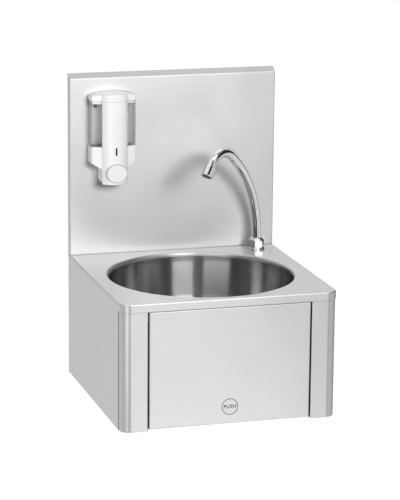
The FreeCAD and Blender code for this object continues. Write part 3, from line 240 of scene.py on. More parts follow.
world = bpy.data.worlds.new("white studio")
bpy.context.scene.world = world
world.use_nodes = True
world.cycles.sampling_method = "NONE"
tree = world.node_tree
tree.nodes.clear()
rays = place(tree, "ShaderNodeLightPath").outputs
way = place(tree, "ShaderNodeTexCoord").outputs["Generated"]
around = use_group(tree, STUDIO_ROUND, {"Direction": way})
in_metal = place(tree, "ShaderNodeBackground", {"Color": around["Level"], "Strength": 1.0})
seen = place(tree, "ShaderNodeBackground", {"Color": grey(1.0), "Strength": 1.0})
plain = place(tree, "ShaderNodeBackground", {"Color": grey(1.0), "Strength": WORLD_LIGHT})
lit = place(tree, "ShaderNodeMixShader",
            {0: rays["Is Glossy Ray"], 1: plain.outputs[0], 2: in_metal.outputs[0]})
direct = maths(tree, "MAXIMUM", rays["Is Camera Ray"], rays["Is Transmission Ray"])
whole = place(tree, "ShaderNodeMixShader", {0: direct, 1: lit.outputs[0], 2: seen.outputs[0]})
place(tree, "ShaderNodeOutputWorld", {"Surface": whole.outputs[0]})
print("world made with", len(tree.nodes), "nodes")

# %% [markdown]
# The sink hangs on a wall, so its floor is far below. A square plane would do, but its corners could show
# in a low view, so it is a wide disc that reaches equally far on every side.

# %% Floor
FLOOR_DROP = 0.9             # floor below the wall fixings
FLOOR_RADIUS = 30.0
FLOOR_SIDES = 96

mesh = bpy.data.meshes.new("floor")
shape = bmesh.new()
bmesh.ops.create_circle(shape, cap_ends=True, radius=FLOOR_RADIUS, segments=FLOOR_SIDES,
                        matrix=Matrix.Translation((0, 0, -FLOOR_DROP)))
shape.to_mesh(mesh)
shape.free()
floor = bpy.data.objects.new("floor", mesh)
bpy.context.scene.collection.objects.link(floor)
print("floor", FLOOR_RADIUS * 2, "m across,", FLOOR_DROP, "m below the fixings")

# %% [markdown]
# The floor has a pale, slightly mottled finish. More lamps would make it white, but they would wash out the
# sink too. So it adds a glow of its own, only for rays that look at it: that keeps it white in the picture
# and leaves the shadow. In reflections the same cloths stand on it, so it uses the studio group with its
# own place as the direction.

# %% Material: pale floor
MOTTLED = (0.3, 0.7)         # values of the noise that give the darker and the lighter tint
DARKER, LIGHTER = 0.84, 0.88
FLOOR_WHITE = 1.22           # brightness of the floor's own glow
FLOOR_GLOW = 0.8             # share of the glow; the rest is lit by the studio and holds the shadow

floor_paint = bpy.data.materials.new("pale floor")
floor_paint.use_nodes = True
floor_paint.cycles.emission_sampling = "NONE"
tree = floor_paint.node_tree
tree.nodes.clear()
rays = place(tree, "ShaderNodeLightPath").outputs
spot = place(tree, "ShaderNodeTexCoord").outputs["Object"]
flecks = place(tree, "ShaderNodeTexNoise", {"Vector": spot, "Scale": 3.0, "Detail": 4.0}).outputs["Fac"]
tint = mixed_colour(tree, between(tree, flecks, *MOTTLED), grey(DARKER), grey(LIGHTER))
matt = place(tree, "ShaderNodeBsdfDiffuse", {"Color": tint})
around = use_group(tree, STUDIO_ROUND, {"Direction": spot})
glow_colour = mixed_colour(tree, rays["Is Glossy Ray"], grey(FLOOR_WHITE), around["Level"])
glow = place(tree, "ShaderNodeEmission", {"Color": glow_colour, "Strength": 1.0})
looking = maths(tree, "MAXIMUM", rays["Is Camera Ray"], rays["Is Transmission Ray"])
share = maths(tree, "MAXIMUM", maths(tree, "MULTIPLY", looking, FLOOR_GLOW), rays["Is Glossy Ray"])
surface = place(tree, "ShaderNodeMixShader", {0: share, 1: matt.outputs[0], 2: glow.outputs[0]})
place(tree, "ShaderNodeOutputMaterial", {"Surface": surface.outputs[0]})
floor.data.materials.append(floor_paint)
print("floor painted with", len(tree.nodes), "nodes")

# %% [markdown]
# Four softboxes light the sink. The one in front makes the broad glow on the splashback and draws the soft
# shadows. A big one on the left draws the second streak down each corner. A small one high on the right
# lights the sloped top return, and a small low one lifts the knee panel. A sun lamp would draw hard edges;
# an area lamp is a softbox, and its size sets how soft the edge of its reflection is. A white card that
# faces a lamp is lit by the lamp's power divided by the square of pi times its distance, so each power is
# worked out backwards from the level that the card should have.

# %% Softboxes
def softbox(name, heading, height, away, size, light):
    """Lamp by compass heading and height above the horizon; light is its level on a facing white card."""
    lamp_data = bpy.data.lights.new(name, "AREA")
    lamp_data.shape = "RECTANGLE"
    lamp_data.size, lamp_data.size_y = size
    lamp_data.energy = light * (math.pi * away) ** 2
    lamp = bpy.data.objects.new(name, lamp_data)
    turn, rise = math.radians(heading), math.radians(height)
    step = Vector((math.sin(turn) * math.cos(rise), math.cos(turn) * math.cos(rise), math.sin(rise)))
    lamp.location = SINK_MIDDLE + step * away
    lamp.rotation_euler = (-step).to_track_quat("-Z", "Y").to_euler()
    lamp.visible_camera = False
    bpy.context.scene.collection.objects.link(lamp)
    print(name, "power", round(lamp_data.energy, 1), "W at", [round(v, 2) for v in lamp.location])


softbox("front softbox", heading=171.0, height=22.0, away=3.0, size=(1.4, 0.9), light=0.44)
softbox("left softbox", heading=216.0, height=8.0, away=3.0, size=(1.8, 2.6), light=0.42)
softbox("high softbox", heading=130.0, height=69.0, away=2.5, size=(1.0, 1.0), light=0.135)
softbox("low softbox", heading=166.0, height=-42.0, away=1.3, size=(0.7, 0.4), light=0.14)

# %% [markdown]
# Brushed steel is steel that was drawn past an abrasive belt. Each grit leaves a hair-thin scratch as long
# as a finger, so light spreads far across the scratches and little along them. Three things make it: a
# noise stretched into lines, an anisotropic gloss whose tangent runs across them, and a slow wave, because
# thin sheet is never quite flat. A picture of scratches would need a file and repeat itself; noise does
# neither. The lines and the wave are groups, since several steels share them.

# %% Group: brushed grain
GRAIN_ROUGHNESS = 0.06       # how much the roughness changes from line to line
GRAIN_SHADE = 0.08           # and how much the colour does
NOISE_MIDDLE = 0.5           # the middle value of a noise texture


def brushed_grain_group():
    """Fine lines, stretched along the brushing; Stretch is lines per metre along each axis."""
    group, entry, result = new_group(
        "brushed grain", [("Stretch", "Vector", (30.0, 2500.0, 2500.0))],
        [("Height", "Float"), ("Roughness", "Float"), ("Shade", "Float")])
    spot = place(group, "ShaderNodeTexCoord").outputs["Object"]
    lines_at = vector_maths(group, "MULTIPLY", spot, entry["Stretch"])
    fine = place(group, "ShaderNodeTexNoise",
                 {"Vector": lines_at, "Scale": 1.0, "Detail": 3.0, "Roughness": 0.7}).outputs["Fac"]
    wide = place(group, "ShaderNodeTexNoise",
                 {"Vector": lines_at, "Scale": 0.22, "Detail": 2.0, "Roughness": 0.5}).outputs["Fac"]
    group.links.new(fine, result["Height"])
    spread = maths(group, "SUBTRACT", wide, NOISE_MIDDLE)
    group.links.new(maths(group, "MULTIPLY", spread, GRAIN_ROUGHNESS), result["Roughness"])
    group.links.new(maths(group, "MULTIPLY_ADD", spread, GRAIN_SHADE, 1.0), result["Shade"])
    return group


BRUSHED_GRAIN = brushed_grain_group()
print("group", BRUSHED_GRAIN.name, "with", len(BRUSHED_GRAIN.nodes), "nodes")

# %% [markdown]
# Sheet that has been folded and handled is full of shallow waves, about two hands wide, and carries the
# faint cloudy marks of hands and cloths. Waves could be cut into the mesh, but the mesh is the CAD model's
# and stays as it is, so the group gives a height for the shading alone, and a mask for the marks.

# %% Group: slow waves and handling marks
CLOUDED = (0.35, 0.8)        # values of the noise where a mark begins and where it is full


def handled_sheet_group():
    """Shallow waves of thin sheet and the faint cloudy marks that hands and cloths leave."""
    group, entry, result = new_group(
        "handled sheet", [("Wave Size", "Float", 5.0), ("Mark Size", "Float", 22.0)],
        [("Height", "Float"), ("Marks", "Float")])
    spot = place(group, "ShaderNodeTexCoord").outputs["Object"]
    wave = place(group, "ShaderNodeTexNoise", {"Vector": spot, "Scale": entry["Wave Size"], "Detail": 1.0})
    cloud = place(group, "ShaderNodeTexNoise", {
        "Vector": spot, "Scale": entry["Mark Size"], "Detail": 5.0, "Roughness": 0.62, "Distortion": 0.6})
    group.links.new(wave.outputs["Fac"], result["Height"])
    group.links.new(between(group, cloud.outputs["Fac"], *CLOUDED), result["Marks"])
    return group


HANDLED_SHEET = handled_sheet_group()
print("group", HANDLED_SHEET.name, "with", len(HANDLED_SHEET.nodes), "nodes")

# %% [markdown]
# A material starts empty, with its Principled shader and its output. Nearly every finish then needs the
# same few things: a colour made a little lighter or darker, a bump, an edge that the Bevel node rounds in
# the shading without touching the mesh, and the direction that the surface faces. Each is a helper here.

# %% Helpers for finishes
def new_material(name):
    """A material with an empty tree, its Principled shader and its output."""
    material = bpy.data.materials.new(name)
    material.use_nodes = True
    tree = material.node_tree
    tree.nodes.clear()
    shader = place(tree, "ShaderNodeBsdfPrincipled")
    place(tree, "ShaderNodeOutputMaterial", {"Surface": shader.outputs[0]})
    print("new material:", name)
    return material, tree, shader


def tinted(tree, colour, shade):
    """A colour made lighter and darker by a number near one."""
    return vector_maths(tree, "MULTIPLY", colour, shade)


def bump(tree, height, strength, depth, **under):
    """The normal of a bumpy surface; depth is how far a height of one stands proud of what lies under it."""
    heights = {"Height": height, "Strength": strength, "Distance": depth}
    return place(tree, "ShaderNodeBump", {**heights, **under}).outputs[0]


def rounded(tree, radius, samples=6):
    """The normal of a surface whose sharp edges are rounded."""
    return place(tree, "ShaderNodeBevel", {"Radius": radius}, samples=samples).outputs[0]


def facing(tree):
    """The direction that the surface faces."""
    return place(tree, "ShaderNodeNewGeometry").outputs["Normal"]


# %% [markdown]
# All the sheets are the same steel, and each was brushed one way. The tangent is the cross product of the
# surface normal and the direction of the brushing, so it lies in the sheet, across the lines. Round an
# upright fold the lines run level, and there a second cross product turns the tangent upright. A Tangent
# node gives a straight direction only from a UV map, and the CAD model has none. Inner corners and seams
# get painted shade: an Ambient Occlusion node finds them, and the colour is darkened there.

# %% Material: brushed steel
STEEL = (0.645, 0.65, 0.65)
STEEL_ROUGHNESS = 0.42
STEEL_STRETCH = 0.68         # how far the gloss is stretched across the lines
ALONG, ACROSS = 12.0, 3000.0     # changes of the grain per metre, along its lines and across them
SIDEWAYS = (1.0, 0.02, 0.03)     # a hair off the axis, so that edges facing along it keep a tangent too
FRONT_TO_BACK = (0.02, 1.0, 0.03)
UPRIGHT = (0.02, 0.03, 1.0)
MARK_SHADE = -0.015          # what a handling mark does to the colour
MARK_DULLS = 0.02            # and to the roughness
PAINTED_SHADE_REACH = 0.004         # how far the painted shade of an inner corner reaches
CORNER_LIGHT = (0.3, 0.95)   # the node's values that count as a corner and as open sheet
CORNER_PAINTED_SHADE = 0.35          # brightness that the painted shade leaves in a corner
FOLD_ROUNDING = 0.0007
SHEET_WAVE = 0.003           # depth of the slow waves
SCRATCH_DEPTH = 0.0001
SCRATCH_STRENGTH = 0.01


def brushed_steel(name, grain, axis, wrapped=False):
    """Steel brushed along an axis; a wrapped grain runs level round an upright axis."""
    material, tree, shader = new_material(name)
    lines = use_group(tree, BRUSHED_GRAIN, {"Stretch": grain})
    sheet = use_group(tree, HANDLED_SHEET)
    # painted shade: the colour is darkened in inner corners and seams, where the Ambient Occlusion node
    # finds them
    corner = place(tree, "ShaderNodeAmbientOcclusion", {"Distance": PAINTED_SHADE_REACH}, samples=8).outputs["AO"]
    shade = maths(tree, "MULTIPLY_ADD", sheet["Marks"], MARK_SHADE, lines["Shade"])
    shade = maths(tree, "MULTIPLY", shade, between(tree, corner, *CORNER_LIGHT, CORNER_PAINTED_SHADE, 1.0))
    tree.links.new(tinted(tree, STEEL, shade), shader.inputs["Base Color"])
    rough = maths(tree, "MULTIPLY_ADD", sheet["Marks"], MARK_DULLS, STEEL_ROUGHNESS)
    rough = maths(tree, "ADD", rough, lines["Roughness"])
    tree.links.new(rough, shader.inputs["Roughness"])
    shader.inputs["Metallic"].default_value = 1.0
    shader.inputs["Anisotropic"].default_value = STEEL_STRETCH
    normal = facing(tree)
    tangent = vector_maths(tree, "CROSS_PRODUCT", normal, axis)
    if wrapped:
        tangent = vector_maths(tree, "CROSS_PRODUCT", tangent, normal)
    tree.links.new(tangent, shader.inputs["Tangent"])
    waves = bump(tree, sheet["Height"], 1.0, SHEET_WAVE, Normal=rounded(tree, FOLD_ROUNDING, samples=4))
    scratches = bump(tree, lines["Height"], SCRATCH_STRENGTH, SCRATCH_DEPTH, Normal=waves)
    tree.links.new(scratches, shader.inputs["Normal"])
    return material


steel_sideways = brushed_steel("steel brushed sideways", (ALONG, ACROSS, ACROSS), SIDEWAYS)
steel_lengthways = brushed_steel("steel brushed front to back", (ACROSS, ALONG, ACROSS), FRONT_TO_BACK)
steel_corner = brushed_steel("steel brushed round a corner", (ALONG, ALONG, ACROSS), UPRIGHT, wrapped=True)
print("a sheet's steel has", len(steel_sideways.node_tree.nodes), "nodes")

# %% [markdown]
# The bowl is pressed from a disc and polished while it turns, so its lines run round it. A Tangent node set
# to radial could turn round the middle of the piece, but worked out by hand the axis is plain to see, and
# the same arm from the axis to the surface also places the lines. The direction round the axis, crossed
# with the surface normal, runs down the wall. The bowl is smoother than the sheets, and it shows upright
# streaks of whatever stands round it.

# %% Material: satin bowl
# painted shade: the bowl's steel colour is set much darker than the sheets' steel, to darken the inside of
# the bowl
BOWL_SHADED_STEEL = (0.38, 0.383, 0.385)
BOWL_ROUGHNESS = 0.21
BOWL_MARK_DULLS = 0.05       # what a handling mark does to the roughness
BOWL_LINES = 2200.0          # changes of the lines per metre, outwards and down the wall
BOWL_LINE_ROUND = 3.0        # and per radian round it
LINE_NOISE = (0.3, 0.7)      # values of the noise for the darkest and the lightest line
LINE_SHADE = (0.97, 1.03)    # and what they do to the colour
BOWL_WAVE = 0.001
BOWL_WAVE_STRENGTH = 0.05
UP = (0.0, 0.0, 1.0)

low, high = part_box("bowl")
BOWL_AXIS = ((low.x + high.x) / 2, (low.y + high.y) / 2, 0.0)
print("bowl axis at", [round(v, 4) for v in BOWL_AXIS], "and", round((high.x - low.x) / 2, 4), "m in radius")


def satin_bowl(name):
    """Steel polished round an upright axis."""
    material, tree, shader = new_material(name)
    spot = place(tree, "ShaderNodeTexCoord").outputs["Object"]
    arm = place(tree, "ShaderNodeSeparateXYZ", {0: vector_maths(tree, "SUBTRACT", spot, BOWL_AXIS)}).outputs
    flat = place(tree, "ShaderNodeCombineXYZ", {"X": arm["X"], "Y": arm["Y"]}).outputs[0]
    radius = place(tree, "ShaderNodeVectorMath", {0: flat}, operation="LENGTH").outputs["Value"]
    lines_at = place(tree, "ShaderNodeCombineXYZ", {
        "X": maths(tree, "MULTIPLY", radius, BOWL_LINES), "Y": maths(tree, "MULTIPLY", arm["Z"], BOWL_LINES),
        "Z": maths(tree, "MULTIPLY", maths(tree, "ARCTAN2", arm["Y"], arm["X"]), BOWL_LINE_ROUND)})
    lines = place(tree, "ShaderNodeTexNoise",
                  {"Vector": lines_at.outputs[0], "Scale": 1.0, "Detail": 3.0}).outputs["Fac"]
    sheet = use_group(tree, HANDLED_SHEET, {"Wave Size": 7.0, "Mark Size": 30.0})
    shade = between(tree, lines, *LINE_NOISE, *LINE_SHADE)
    tree.links.new(tinted(tree, BOWL_SHADED_STEEL, shade), shader.inputs["Base Color"])
    rough = maths(tree, "MULTIPLY_ADD", sheet["Marks"], BOWL_MARK_DULLS, BOWL_ROUGHNESS)
    tree.links.new(rough, shader.inputs["Roughness"])
    shader.inputs["Metallic"].default_value = 1.0
    shader.inputs["Anisotropic"].default_value = 1.0
    round_axis = vector_maths(tree, "CROSS_PRODUCT", UP, flat)
    down_wall = vector_maths(tree, "CROSS_PRODUCT", facing(tree), round_axis)
    tree.links.new(down_wall, shader.inputs["Tangent"])
    waves = bump(tree, sheet["Height"], BOWL_WAVE_STRENGTH, BOWL_WAVE)
    scratches = bump(tree, lines, SCRATCH_STRENGTH, SCRATCH_DEPTH, Normal=waves)
    tree.links.new(scratches, shader.inputs["Normal"])
    return material


bowl_steel = satin_bowl("bowl steel")

# %% [markdown]
# Chrome plating is a mirror with almost no colour, but a perfect mirror looks false. What makes it look
# real is what it reflects, a trace of dried drops, and a very slight unevenness from polishing the brass
# underneath. Drops could be painted on a texture, but small rings round the middles of Voronoi cells look
# the same and need none, and a slow noise keeps only a few of them.

# %% Group: water spots
SPOT_EDGE = 0.22             # where a spot's edge lies, as a distance from the middle of its cell
SPOT_LINE = 0.05             # how far the edge fades to each side
FEW = (0.55, 0.7)            # values of the noise where spots begin and where they are full


def water_spots_group():
    """Dried drops: small pale rings scattered over polished metal."""
    group, entry, result = new_group(
        "water spots", [("Spots per metre", "Float", 160.0)], [("Spots", "Float")])
    spot = place(group, "ShaderNodeTexCoord").outputs["Object"]
    cells = place(group, "ShaderNodeTexVoronoi", {"Vector": spot, "Scale": entry["Spots per metre"]})
    ring = maths(group, "ABSOLUTE", maths(group, "SUBTRACT", cells.outputs["Distance"], SPOT_EDGE))
    line = between(group, ring, 0.0, SPOT_LINE, 1.0, 0.0)
    chance = place(group, "ShaderNodeTexNoise", {"Vector": spot, "Scale": 24.0, "Detail": 1.0})
    kept = between(group, chance.outputs["Fac"], *FEW)
    group.links.new(maths(group, "MULTIPLY", line, kept), result["Spots"])
    return group


WATER_SPOTS = water_spots_group()
print("group", WATER_SPOTS.name, "with", len(WATER_SPOTS.nodes), "nodes")

# %% [markdown]
# The chrome itself is a Principled shader with full Metallic and hardly any roughness. A Glossy shader
# would show the same mirror, but the Principled one takes colour, roughness and bump in one place, and
# other programs read it too. The drops dull it in spots, and the slow waves bend the stripes that it shows
# by a hair.

# %% Material: chrome
CHROME = (0.80, 0.81, 0.82)
CHROME_ROUGHNESS = 0.05
SPOT_DULLS = 0.12            # what a dried drop does to the roughness
CLOUD_SHADE = -0.03          # what a cloudy patch does to the colour
CLOUD_DULLS = 0.03           # and to the roughness
CHROME_ROUNDING = 0.0006
CHROME_WAVE = 0.0004
CHROME_WAVE_STRENGTH = 0.05


def polished(name):
    """Plated metal with a few dried drops."""
    material, tree, shader = new_material(name)
    drops = use_group(tree, WATER_SPOTS)
    sheet = use_group(tree, HANDLED_SHEET, {"Wave Size": 60.0, "Mark Size": 90.0})
    shade = maths(tree, "MULTIPLY_ADD", sheet["Marks"], CLOUD_SHADE, 1.0)
    tree.links.new(tinted(tree, CHROME, shade), shader.inputs["Base Color"])
    rough = maths(tree, "MULTIPLY_ADD", drops["Spots"], SPOT_DULLS, CHROME_ROUGHNESS)
    rough = maths(tree, "MULTIPLY_ADD", sheet["Marks"], CLOUD_DULLS, rough)
    tree.links.new(rough, shader.inputs["Roughness"])
    shader.inputs["Metallic"].default_value = 1.0
    edges = rounded(tree, CHROME_ROUNDING)
    waves = bump(tree, sheet["Height"], CHROME_WAVE_STRENGTH, CHROME_WAVE, Normal=edges)
    tree.links.new(waves, shader.inputs["Normal"])
    return material


chrome = polished("chrome")

# %% [markdown]
# Brass valves, the copper pipe and the screws are turned or drawn metal. Turning leaves fine rings, and
# handling leaves patches where the shine has gone a little dull and brown. Each metal could have a tree of
# its own, but they differ only in colour and gloss, so one group makes the rings and patches for all of
# them.

# %% Group: turned and tarnished metal
TARNISHED = (0.45, 0.75)     # values of the noise where a patch begins and where it is full


def turned_metal_group():
    """Rings left by a lathe tool and slow dull patches."""
    group, entry, result = new_group(
        "turned metal", [("Rings per metre", "Float", 2600.0), ("Patch Size", "Float", 70.0)],
        [("Height", "Float"), ("Tarnish", "Float")])
    spot = place(group, "ShaderNodeTexCoord").outputs["Object"]
    rings = place(group, "ShaderNodeTexNoise",
                  {"Vector": spot, "Scale": entry["Rings per metre"], "Detail": 2.0}).outputs["Fac"]
    patch = place(group, "ShaderNodeTexNoise", {
        "Vector": spot, "Scale": entry["Patch Size"], "Detail": 4.0, "Roughness": 0.6}).outputs["Fac"]
    group.links.new(rings, result["Height"])
    group.links.new(between(group, patch, *TARNISHED), result["Tarnish"])
    return group


TURNED_METAL = turned_metal_group()
print("group", TURNED_METAL.name, "with", len(TURNED_METAL.nodes), "nodes")

# %% [markdown]
# The four metals come from one function. Each has a bright and a dull colour, and tarnish carries both its
# colour and its roughness from one to the other, as handling does on the real piece.

# %% Materials: brass, copper, screws and spring wire
RING_DEPTH = 0.0002
RING_STRENGTH = 0.1


def machined(name, bright, dull, roughness, dulls):
    """Turned or drawn metal from a bright to a dull colour; dulls is what tarnish adds to the roughness."""
    material, tree, shader = new_material(name)
    finish = use_group(tree, TURNED_METAL)
    tint = mixed_colour(tree, finish["Tarnish"], opaque(bright), opaque(dull))
    tree.links.new(tint, shader.inputs["Base Color"])
    rough = maths(tree, "MULTIPLY_ADD", finish["Tarnish"], dulls, roughness)
    tree.links.new(rough, shader.inputs["Roughness"])
    shader.inputs["Metallic"].default_value = 1.0
    tree.links.new(bump(tree, finish["Height"], RING_STRENGTH, RING_DEPTH), shader.inputs["Normal"])
    return material


brass = machined("turned brass", (0.72, 0.53, 0.26), (0.42, 0.29, 0.13), 0.26, 0.22)
copper = machined("drawn copper", (0.74, 0.40, 0.25), (0.40, 0.20, 0.12), 0.24, 0.25)
screw_steel = machined("zinc-plated screw steel", (0.56, 0.57, 0.58), (0.40, 0.40, 0.39), 0.28, 0.18)
spring_wire = machined("spring wire", (0.44, 0.45, 0.46), (0.28, 0.27, 0.26), 0.3, 0.15)

# %% [markdown]
# The dispenser is moulded in glossy white plastic. A mould leaves a skin with a very faint orange-peel, and
# its edges are never sharp, so they are rounded in the shading. The colour is a shade off white, and rubbed
# places are a little less glossy. Nylon, rubber and fibre have the same kind of skin with other values, so
# they share the group too.

# %% Group: moulded skin
DRIFTED = (0.35, 0.7)        # values of the noise where the first colour ends and the second is reached


def moulded_skin_group():
    """Orange-peel of a moulded surface and the slow drift of its gloss and colour."""
    group, entry, result = new_group(
        "moulded skin", [("Peel per metre", "Float", 900.0), ("Drift Size", "Float", 26.0)],
        [("Height", "Float"), ("Drift", "Float")])
    spot = place(group, "ShaderNodeTexCoord").outputs["Object"]
    peel = place(group, "ShaderNodeTexNoise",
                 {"Vector": spot, "Scale": entry["Peel per metre"], "Detail": 2.0}).outputs["Fac"]
    drift = place(group, "ShaderNodeTexNoise",
                  {"Vector": spot, "Scale": entry["Drift Size"], "Detail": 3.0}).outputs["Fac"]
    group.links.new(peel, result["Height"])
    group.links.new(between(group, drift, *DRIFTED), result["Drift"])
    return group


MOULDED_SKIN = moulded_skin_group()
print("group", MOULDED_SKIN.name, "with", len(MOULDED_SKIN.nodes), "nodes")

# %% [markdown]
# The mouldings come from one function too. The peel is a bump, because it is far too fine for the mesh, and
# the larger rounding of the glossy pieces keeps a soft line of light along their edges.

# %% Materials: plastics, nylon, rubber and fibre
PEEL_DEPTH = 0.0003
RUBBED_DULLS = 0.08          # what rubbing does to the roughness


def moulded(name, colour, drifted, roughness, peel, rounding=0.0008):
    """Moulded plastic or rubber, with its tree and shader; its colour drifts towards a second one."""
    material, tree, shader = new_material(name)
    skin = use_group(tree, MOULDED_SKIN)
    tint = mixed_colour(tree, skin["Drift"], opaque(colour), opaque(drifted))
    tree.links.new(tint, shader.inputs["Base Color"])
    rough = maths(tree, "MULTIPLY_ADD", skin["Drift"], RUBBED_DULLS, roughness)
    tree.links.new(rough, shader.inputs["Roughness"])
    bumps = bump(tree, skin["Height"], peel, PEEL_DEPTH, Normal=rounded(tree, rounding))
    tree.links.new(bumps, shader.inputs["Normal"])
    return material, tree, shader


white_plastic = moulded("white plastic", (0.86, 0.86, 0.855), (0.84, 0.84, 0.83), 0.22, 0.05, 0.0012)[0]
grey_plastic = moulded("grey plastic", (0.50, 0.51, 0.52), (0.45, 0.46, 0.47), 0.42, 0.12)[0]
dark_plastic = moulded("dark plastic", (0.03, 0.03, 0.033), (0.05, 0.05, 0.05), 0.35, 0.1, 0.0003)[0]
nylon = moulded("natural nylon", (0.78, 0.76, 0.68), (0.72, 0.70, 0.62), 0.4, 0.12)[0]
rubber = moulded("black rubber", (0.018, 0.018, 0.018), (0.035, 0.035, 0.034), 0.62, 0.25)[0]
fibre = moulded("red fibre", (0.36, 0.06, 0.035), (0.27, 0.045, 0.03), 0.7, 0.4)[0]

# %% [markdown]
# The soap container is moulded from clear plastic with a smoky tint, and its wall is just under two
# millimetres thick. Light passes such a wall almost straight, so it is made with Alpha: each face of the
# wall holds back a small share of the light and shows its own grey instead. Where the wall turns away from
# the eye the light crosses more of it, so a Layer Weight node raises that share and draws the dark line
# down each edge. Refraction is for thick glass, where it bends what stands behind.

# %% Material: smoky container
HELD_BACK = 0.025            # share of the light that one face of the wall holds back, seen straight on
HELD_BACK_EDGE = 0.65        # and seen along the wall
TURNED_AWAY = (0.45, 0.95)   # values of Facing where that share starts to rise and where it is reached

smoky, tree, shader = moulded("smoky clear plastic", (0.17, 0.175, 0.18), (0.14, 0.145, 0.15), 0.10, 0.05)
turned_away = place(tree, "ShaderNodeLayerWeight", {"Blend": 0.5}).outputs["Facing"]
held_back = between(tree, turned_away, *TURNED_AWAY, HELD_BACK, HELD_BACK_EDGE)
tree.links.new(held_back, shader.inputs["Alpha"])
print("container lets", round((1 - HELD_BACK) ** 4, 2), "of the light through its four faces")

# %% [markdown]
# Each CAD node now gets its finish. The list is by finish, because that is how the real parts would be
# ordered: which pieces are sheet, which are plated, which are moulded. The brushing of a sheet runs the way
# that its longer edge lay on the belt.

# %% Finishes for every node
FINISHES = [
    (steel_sideways, ["deck", "splashback", "knee_panel", "wall_rail", "valve_rail"]),
    (steel_lengthways, ["side_panel_left", "side_panel_right"]),
    (steel_corner, ["corner_post_left", "corner_post_right"]),
    (bowl_steel, ["bowl"]),
    (chrome, ["spout", "spout_base", "spout_collar", "aerator_housing", "waste_strainer"]),
    (screw_steel, ["hinge_pin_left", "hinge_pin_right", "travel_screw_left", "travel_screw_right",
                   "valve_plunger", "strainer_screw", "soap_screws"]),
    (brass, ["valve_body", "valve_locknut", "mixing_tee", "check_valve_cold", "check_valve_hot",
             "pipe_nut_lower", "pipe_nut_upper", "spout_shank", "shank_nut"]),
    (copper, ["outlet_pipe"]),
    (rubber, ["striker_pad", "spout_oring", "upper_seal", "lower_seal"]),
    (nylon, ["hinge_bush_left", "hinge_bush_right", "pump_piston", "pump_body", "soap_nozzle"]),
    (fibre, ["shank_washer"]),
    (white_plastic, ["soap_backplate", "soap_front", "soap_lid", "soap_button"]),
    (grey_plastic, ["waste_body"]),
    (dark_plastic, ["aerator_insert", "slot_insert"]),
    (smoky, ["soap_container"]),
]
dressed = set()
for finish, names in FINISHES:
    for name in names:
        slots = frame["nodes"][name].data.materials
        slots.clear()
        slots.append(finish)
        dressed.add(name)
print(len(dressed), "of", len(frame["nodes"]), "nodes dressed; made again below:",
      sorted(set(frame["nodes"]) - dressed))

# %% [markdown]
# The two springs get shorter when their joints move, which a rigid solid can't do, so each is wound again
# here from round wire, as large as its CAD node. A curve with a bevel would make such a wire too, but in
# mesh code its ends and its size are exact.

# %% Wire for a spring
SPRING_WIRE = 0.0006         # radius of the wire
SPRING_TURNS = 6
WIRE_SIDES = 12
STEPS_PER_TURN = 32


def coil_mesh(name, low, high):
    """Round wire wound front to back, filling the box between two corners."""
    middle = (low + high) / 2
    winding = (high.x - low.x) / 2 - SPRING_WIRE
    pitch = (high.y - low.y - 2 * SPRING_WIRE) / SPRING_TURNS
    sides = [2 * math.pi * side / WIRE_SIDES for side in range(WIRE_SIDES)]
    shape = bmesh.new()
    rings = []
    for step in range(SPRING_TURNS * STEPS_PER_TURN + 1):
        turn = 2 * math.pi * step / STEPS_PER_TURN
        outward = Vector((math.cos(turn), 0.0, math.sin(turn)))
        along = Vector((-math.sin(turn), pitch / (2 * math.pi * winding), math.cos(turn))).normalized()
        across = outward.cross(along)
        wire_middle = Vector((middle.x, low.y + SPRING_WIRE + pitch * step / STEPS_PER_TURN, middle.z))
        wire_middle += outward * winding
        ways = [outward * math.cos(side) + across * math.sin(side) for side in sides]
        rings.append([shape.verts.new(wire_middle + way * SPRING_WIRE) for way in ways])
    for ring_a, ring_b in zip(rings, rings[1:]):
        for side in range(WIRE_SIDES):
            after = (side + 1) % WIRE_SIDES
            shape.faces.new((ring_a[side], ring_a[after], ring_b[after], ring_b[side])).smooth = True
    shape.faces.new(rings[0])
    shape.faces.new(rings[-1])
    bmesh.ops.recalc_face_normals(shape, faces=shape.faces[:])
    mesh = bpy.data.meshes.new(name)
    shape.to_mesh(mesh)
    shape.free()
    return mesh


# %% [markdown]
# A coil then stands for its CAD node, and the node is hidden.

# %% Springs
def spring(name, node):
    """A coil in the place of a CAD node, which is hidden; the coil rides on the basin."""
    low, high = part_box(node)
    wound = bpy.data.objects.new(name, coil_mesh(name, low, high))
    bpy.context.scene.collection.objects.link(wound)
    wound.data.materials.append(spring_wire)
    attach(wound, "basin")
    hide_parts(node)
    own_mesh(wound)


spring("valve_coil", "valve_spring")
spring("pump_coil", "pump_spring")

# %% [markdown]
# A thin ring with a plain word is etched into the knee panel, where the knee goes. Etching leaves a dark,
# dull place with almost no depth. It could be a pattern in the steel's own nodes, but letters are hard to
# draw there, so it is a flat film that lies on the steel, with a finish of its own.

# %% Material: etched mark
ETCH_ROUGHNESS = 0.55
ETCH_GLOSS = 0.1             # a dull film mirrors little of the studio

etched, tree, shader = new_material("etched mark")
skin = use_group(tree, MOULDED_SKIN, {"Peel per metre": 1800.0, "Drift Size": 120.0})
tree.links.new(mixed_colour(tree, skin["Drift"], grey(0.03), grey(0.05)), shader.inputs["Base Color"])
shader.inputs["Roughness"].default_value = ETCH_ROUGHNESS
shader.inputs["Specular IOR Level"].default_value = ETCH_GLOSS
print("etched mark has", len(tree.nodes), "nodes")

# %% [markdown]
# The ring is a narrow band of faces. A torus would stand too proud and a curve with a bevel would need
# turning into a mesh, while four loops of points give the band, with both its edges sloped down to the
# steel.

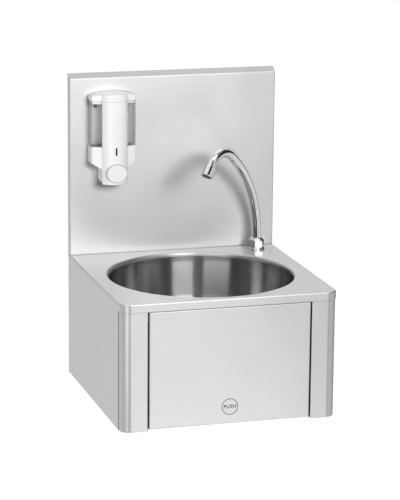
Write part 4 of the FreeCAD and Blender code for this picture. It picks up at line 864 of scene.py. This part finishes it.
# %% Push ring
MARK_ABOVE_EDGE = 0.031      # from the panel's lower edge to the middle of the mark
MARK_RADIUS = 0.015
MARK_LINE = 0.0012
MARK_STEPS = 96
FILM = 0.00012               # how far the film stands proud
RING_PROFILE = [             # radius and height of the film, from its outer to its inner edge
    (MARK_RADIUS, 0.0),
    (MARK_RADIUS - MARK_LINE / 4, FILM),
    (MARK_RADIUS - MARK_LINE * 3 / 4, FILM),
    (MARK_RADIUS - MARK_LINE, 0.0),
]

low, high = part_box("knee_panel")
PANEL_FACE = low.y
MARK_X = (low.x + high.x) / 2
MARK_Z = low.z + MARK_ABOVE_EDGE


def mark_loop(shape, radius, proud):
    """A closed loop of points round the middle of the mark."""
    turns = [2 * math.pi * step / MARK_STEPS for step in range(MARK_STEPS)]
    return [shape.verts.new((MARK_X + radius * math.sin(turn), PANEL_FACE - proud,
                             MARK_Z + radius * math.cos(turn))) for turn in turns]


mesh = bpy.data.meshes.new("push_ring")
shape = bmesh.new()
loops = [mark_loop(shape, radius, proud) for radius, proud in RING_PROFILE]
for outer, inner in zip(loops, loops[1:]):
    for step in range(MARK_STEPS):
        after = (step + 1) % MARK_STEPS
        shape.faces.new((outer[step], outer[after], inner[after], inner[step]))
bmesh.ops.recalc_face_normals(shape, faces=shape.faces[:])
shape.to_mesh(mesh)
shape.free()
ring = bpy.data.objects.new("push_ring", mesh)
bpy.context.scene.collection.objects.link(ring)
ring.data.materials.append(etched)
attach(ring, "knee_panel")
print("ring", round(MARK_RADIUS * 2000, 1), "mm across")

# %% [markdown]
# Letters could be drawn point by point, but a text object already knows their shapes, spacing and weight.
# It is turned into a mesh here, so that its points lie in the model's own frame, as those of the other
# pieces do.

# %% Word inside the ring
FONT_SIZE = 0.00868          # about 1.5 times as large as its capitals are tall
LETTER_GAPS = 1.15
BOLDER = 0.00016             # how far each stroke grows to both sides

text = bpy.data.curves.new("push_word", "FONT")
text.body = "PUSH"
text.size = FONT_SIZE
text.align_x = "CENTER"
text.align_y = "CENTER"
text.extrude = FILM / 2
text.space_character = LETTER_GAPS
text.offset = BOLDER
lettering = bpy.data.objects.new("push_word", text)
bpy.context.scene.collection.objects.link(lettering)
lettering.rotation_euler = (math.radians(90), 0, 0)
lettering.location = (MARK_X, PANEL_FACE - FILM / 2, MARK_Z)
bpy.context.view_layer.update()
solid = bpy.data.meshes.new_from_object(lettering.evaluated_get(bpy.context.evaluated_depsgraph_get()))
solid.transform(lettering.matrix_world)
bpy.data.objects.remove(lettering)
word = bpy.data.objects.new("push_word", solid)
bpy.context.scene.collection.objects.link(word)
word.data.materials.clear()
word.data.materials.append(etched)
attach(word, "knee_panel")
print("word", [round(v * 1000, 1) for v in word.dimensions], "mm")
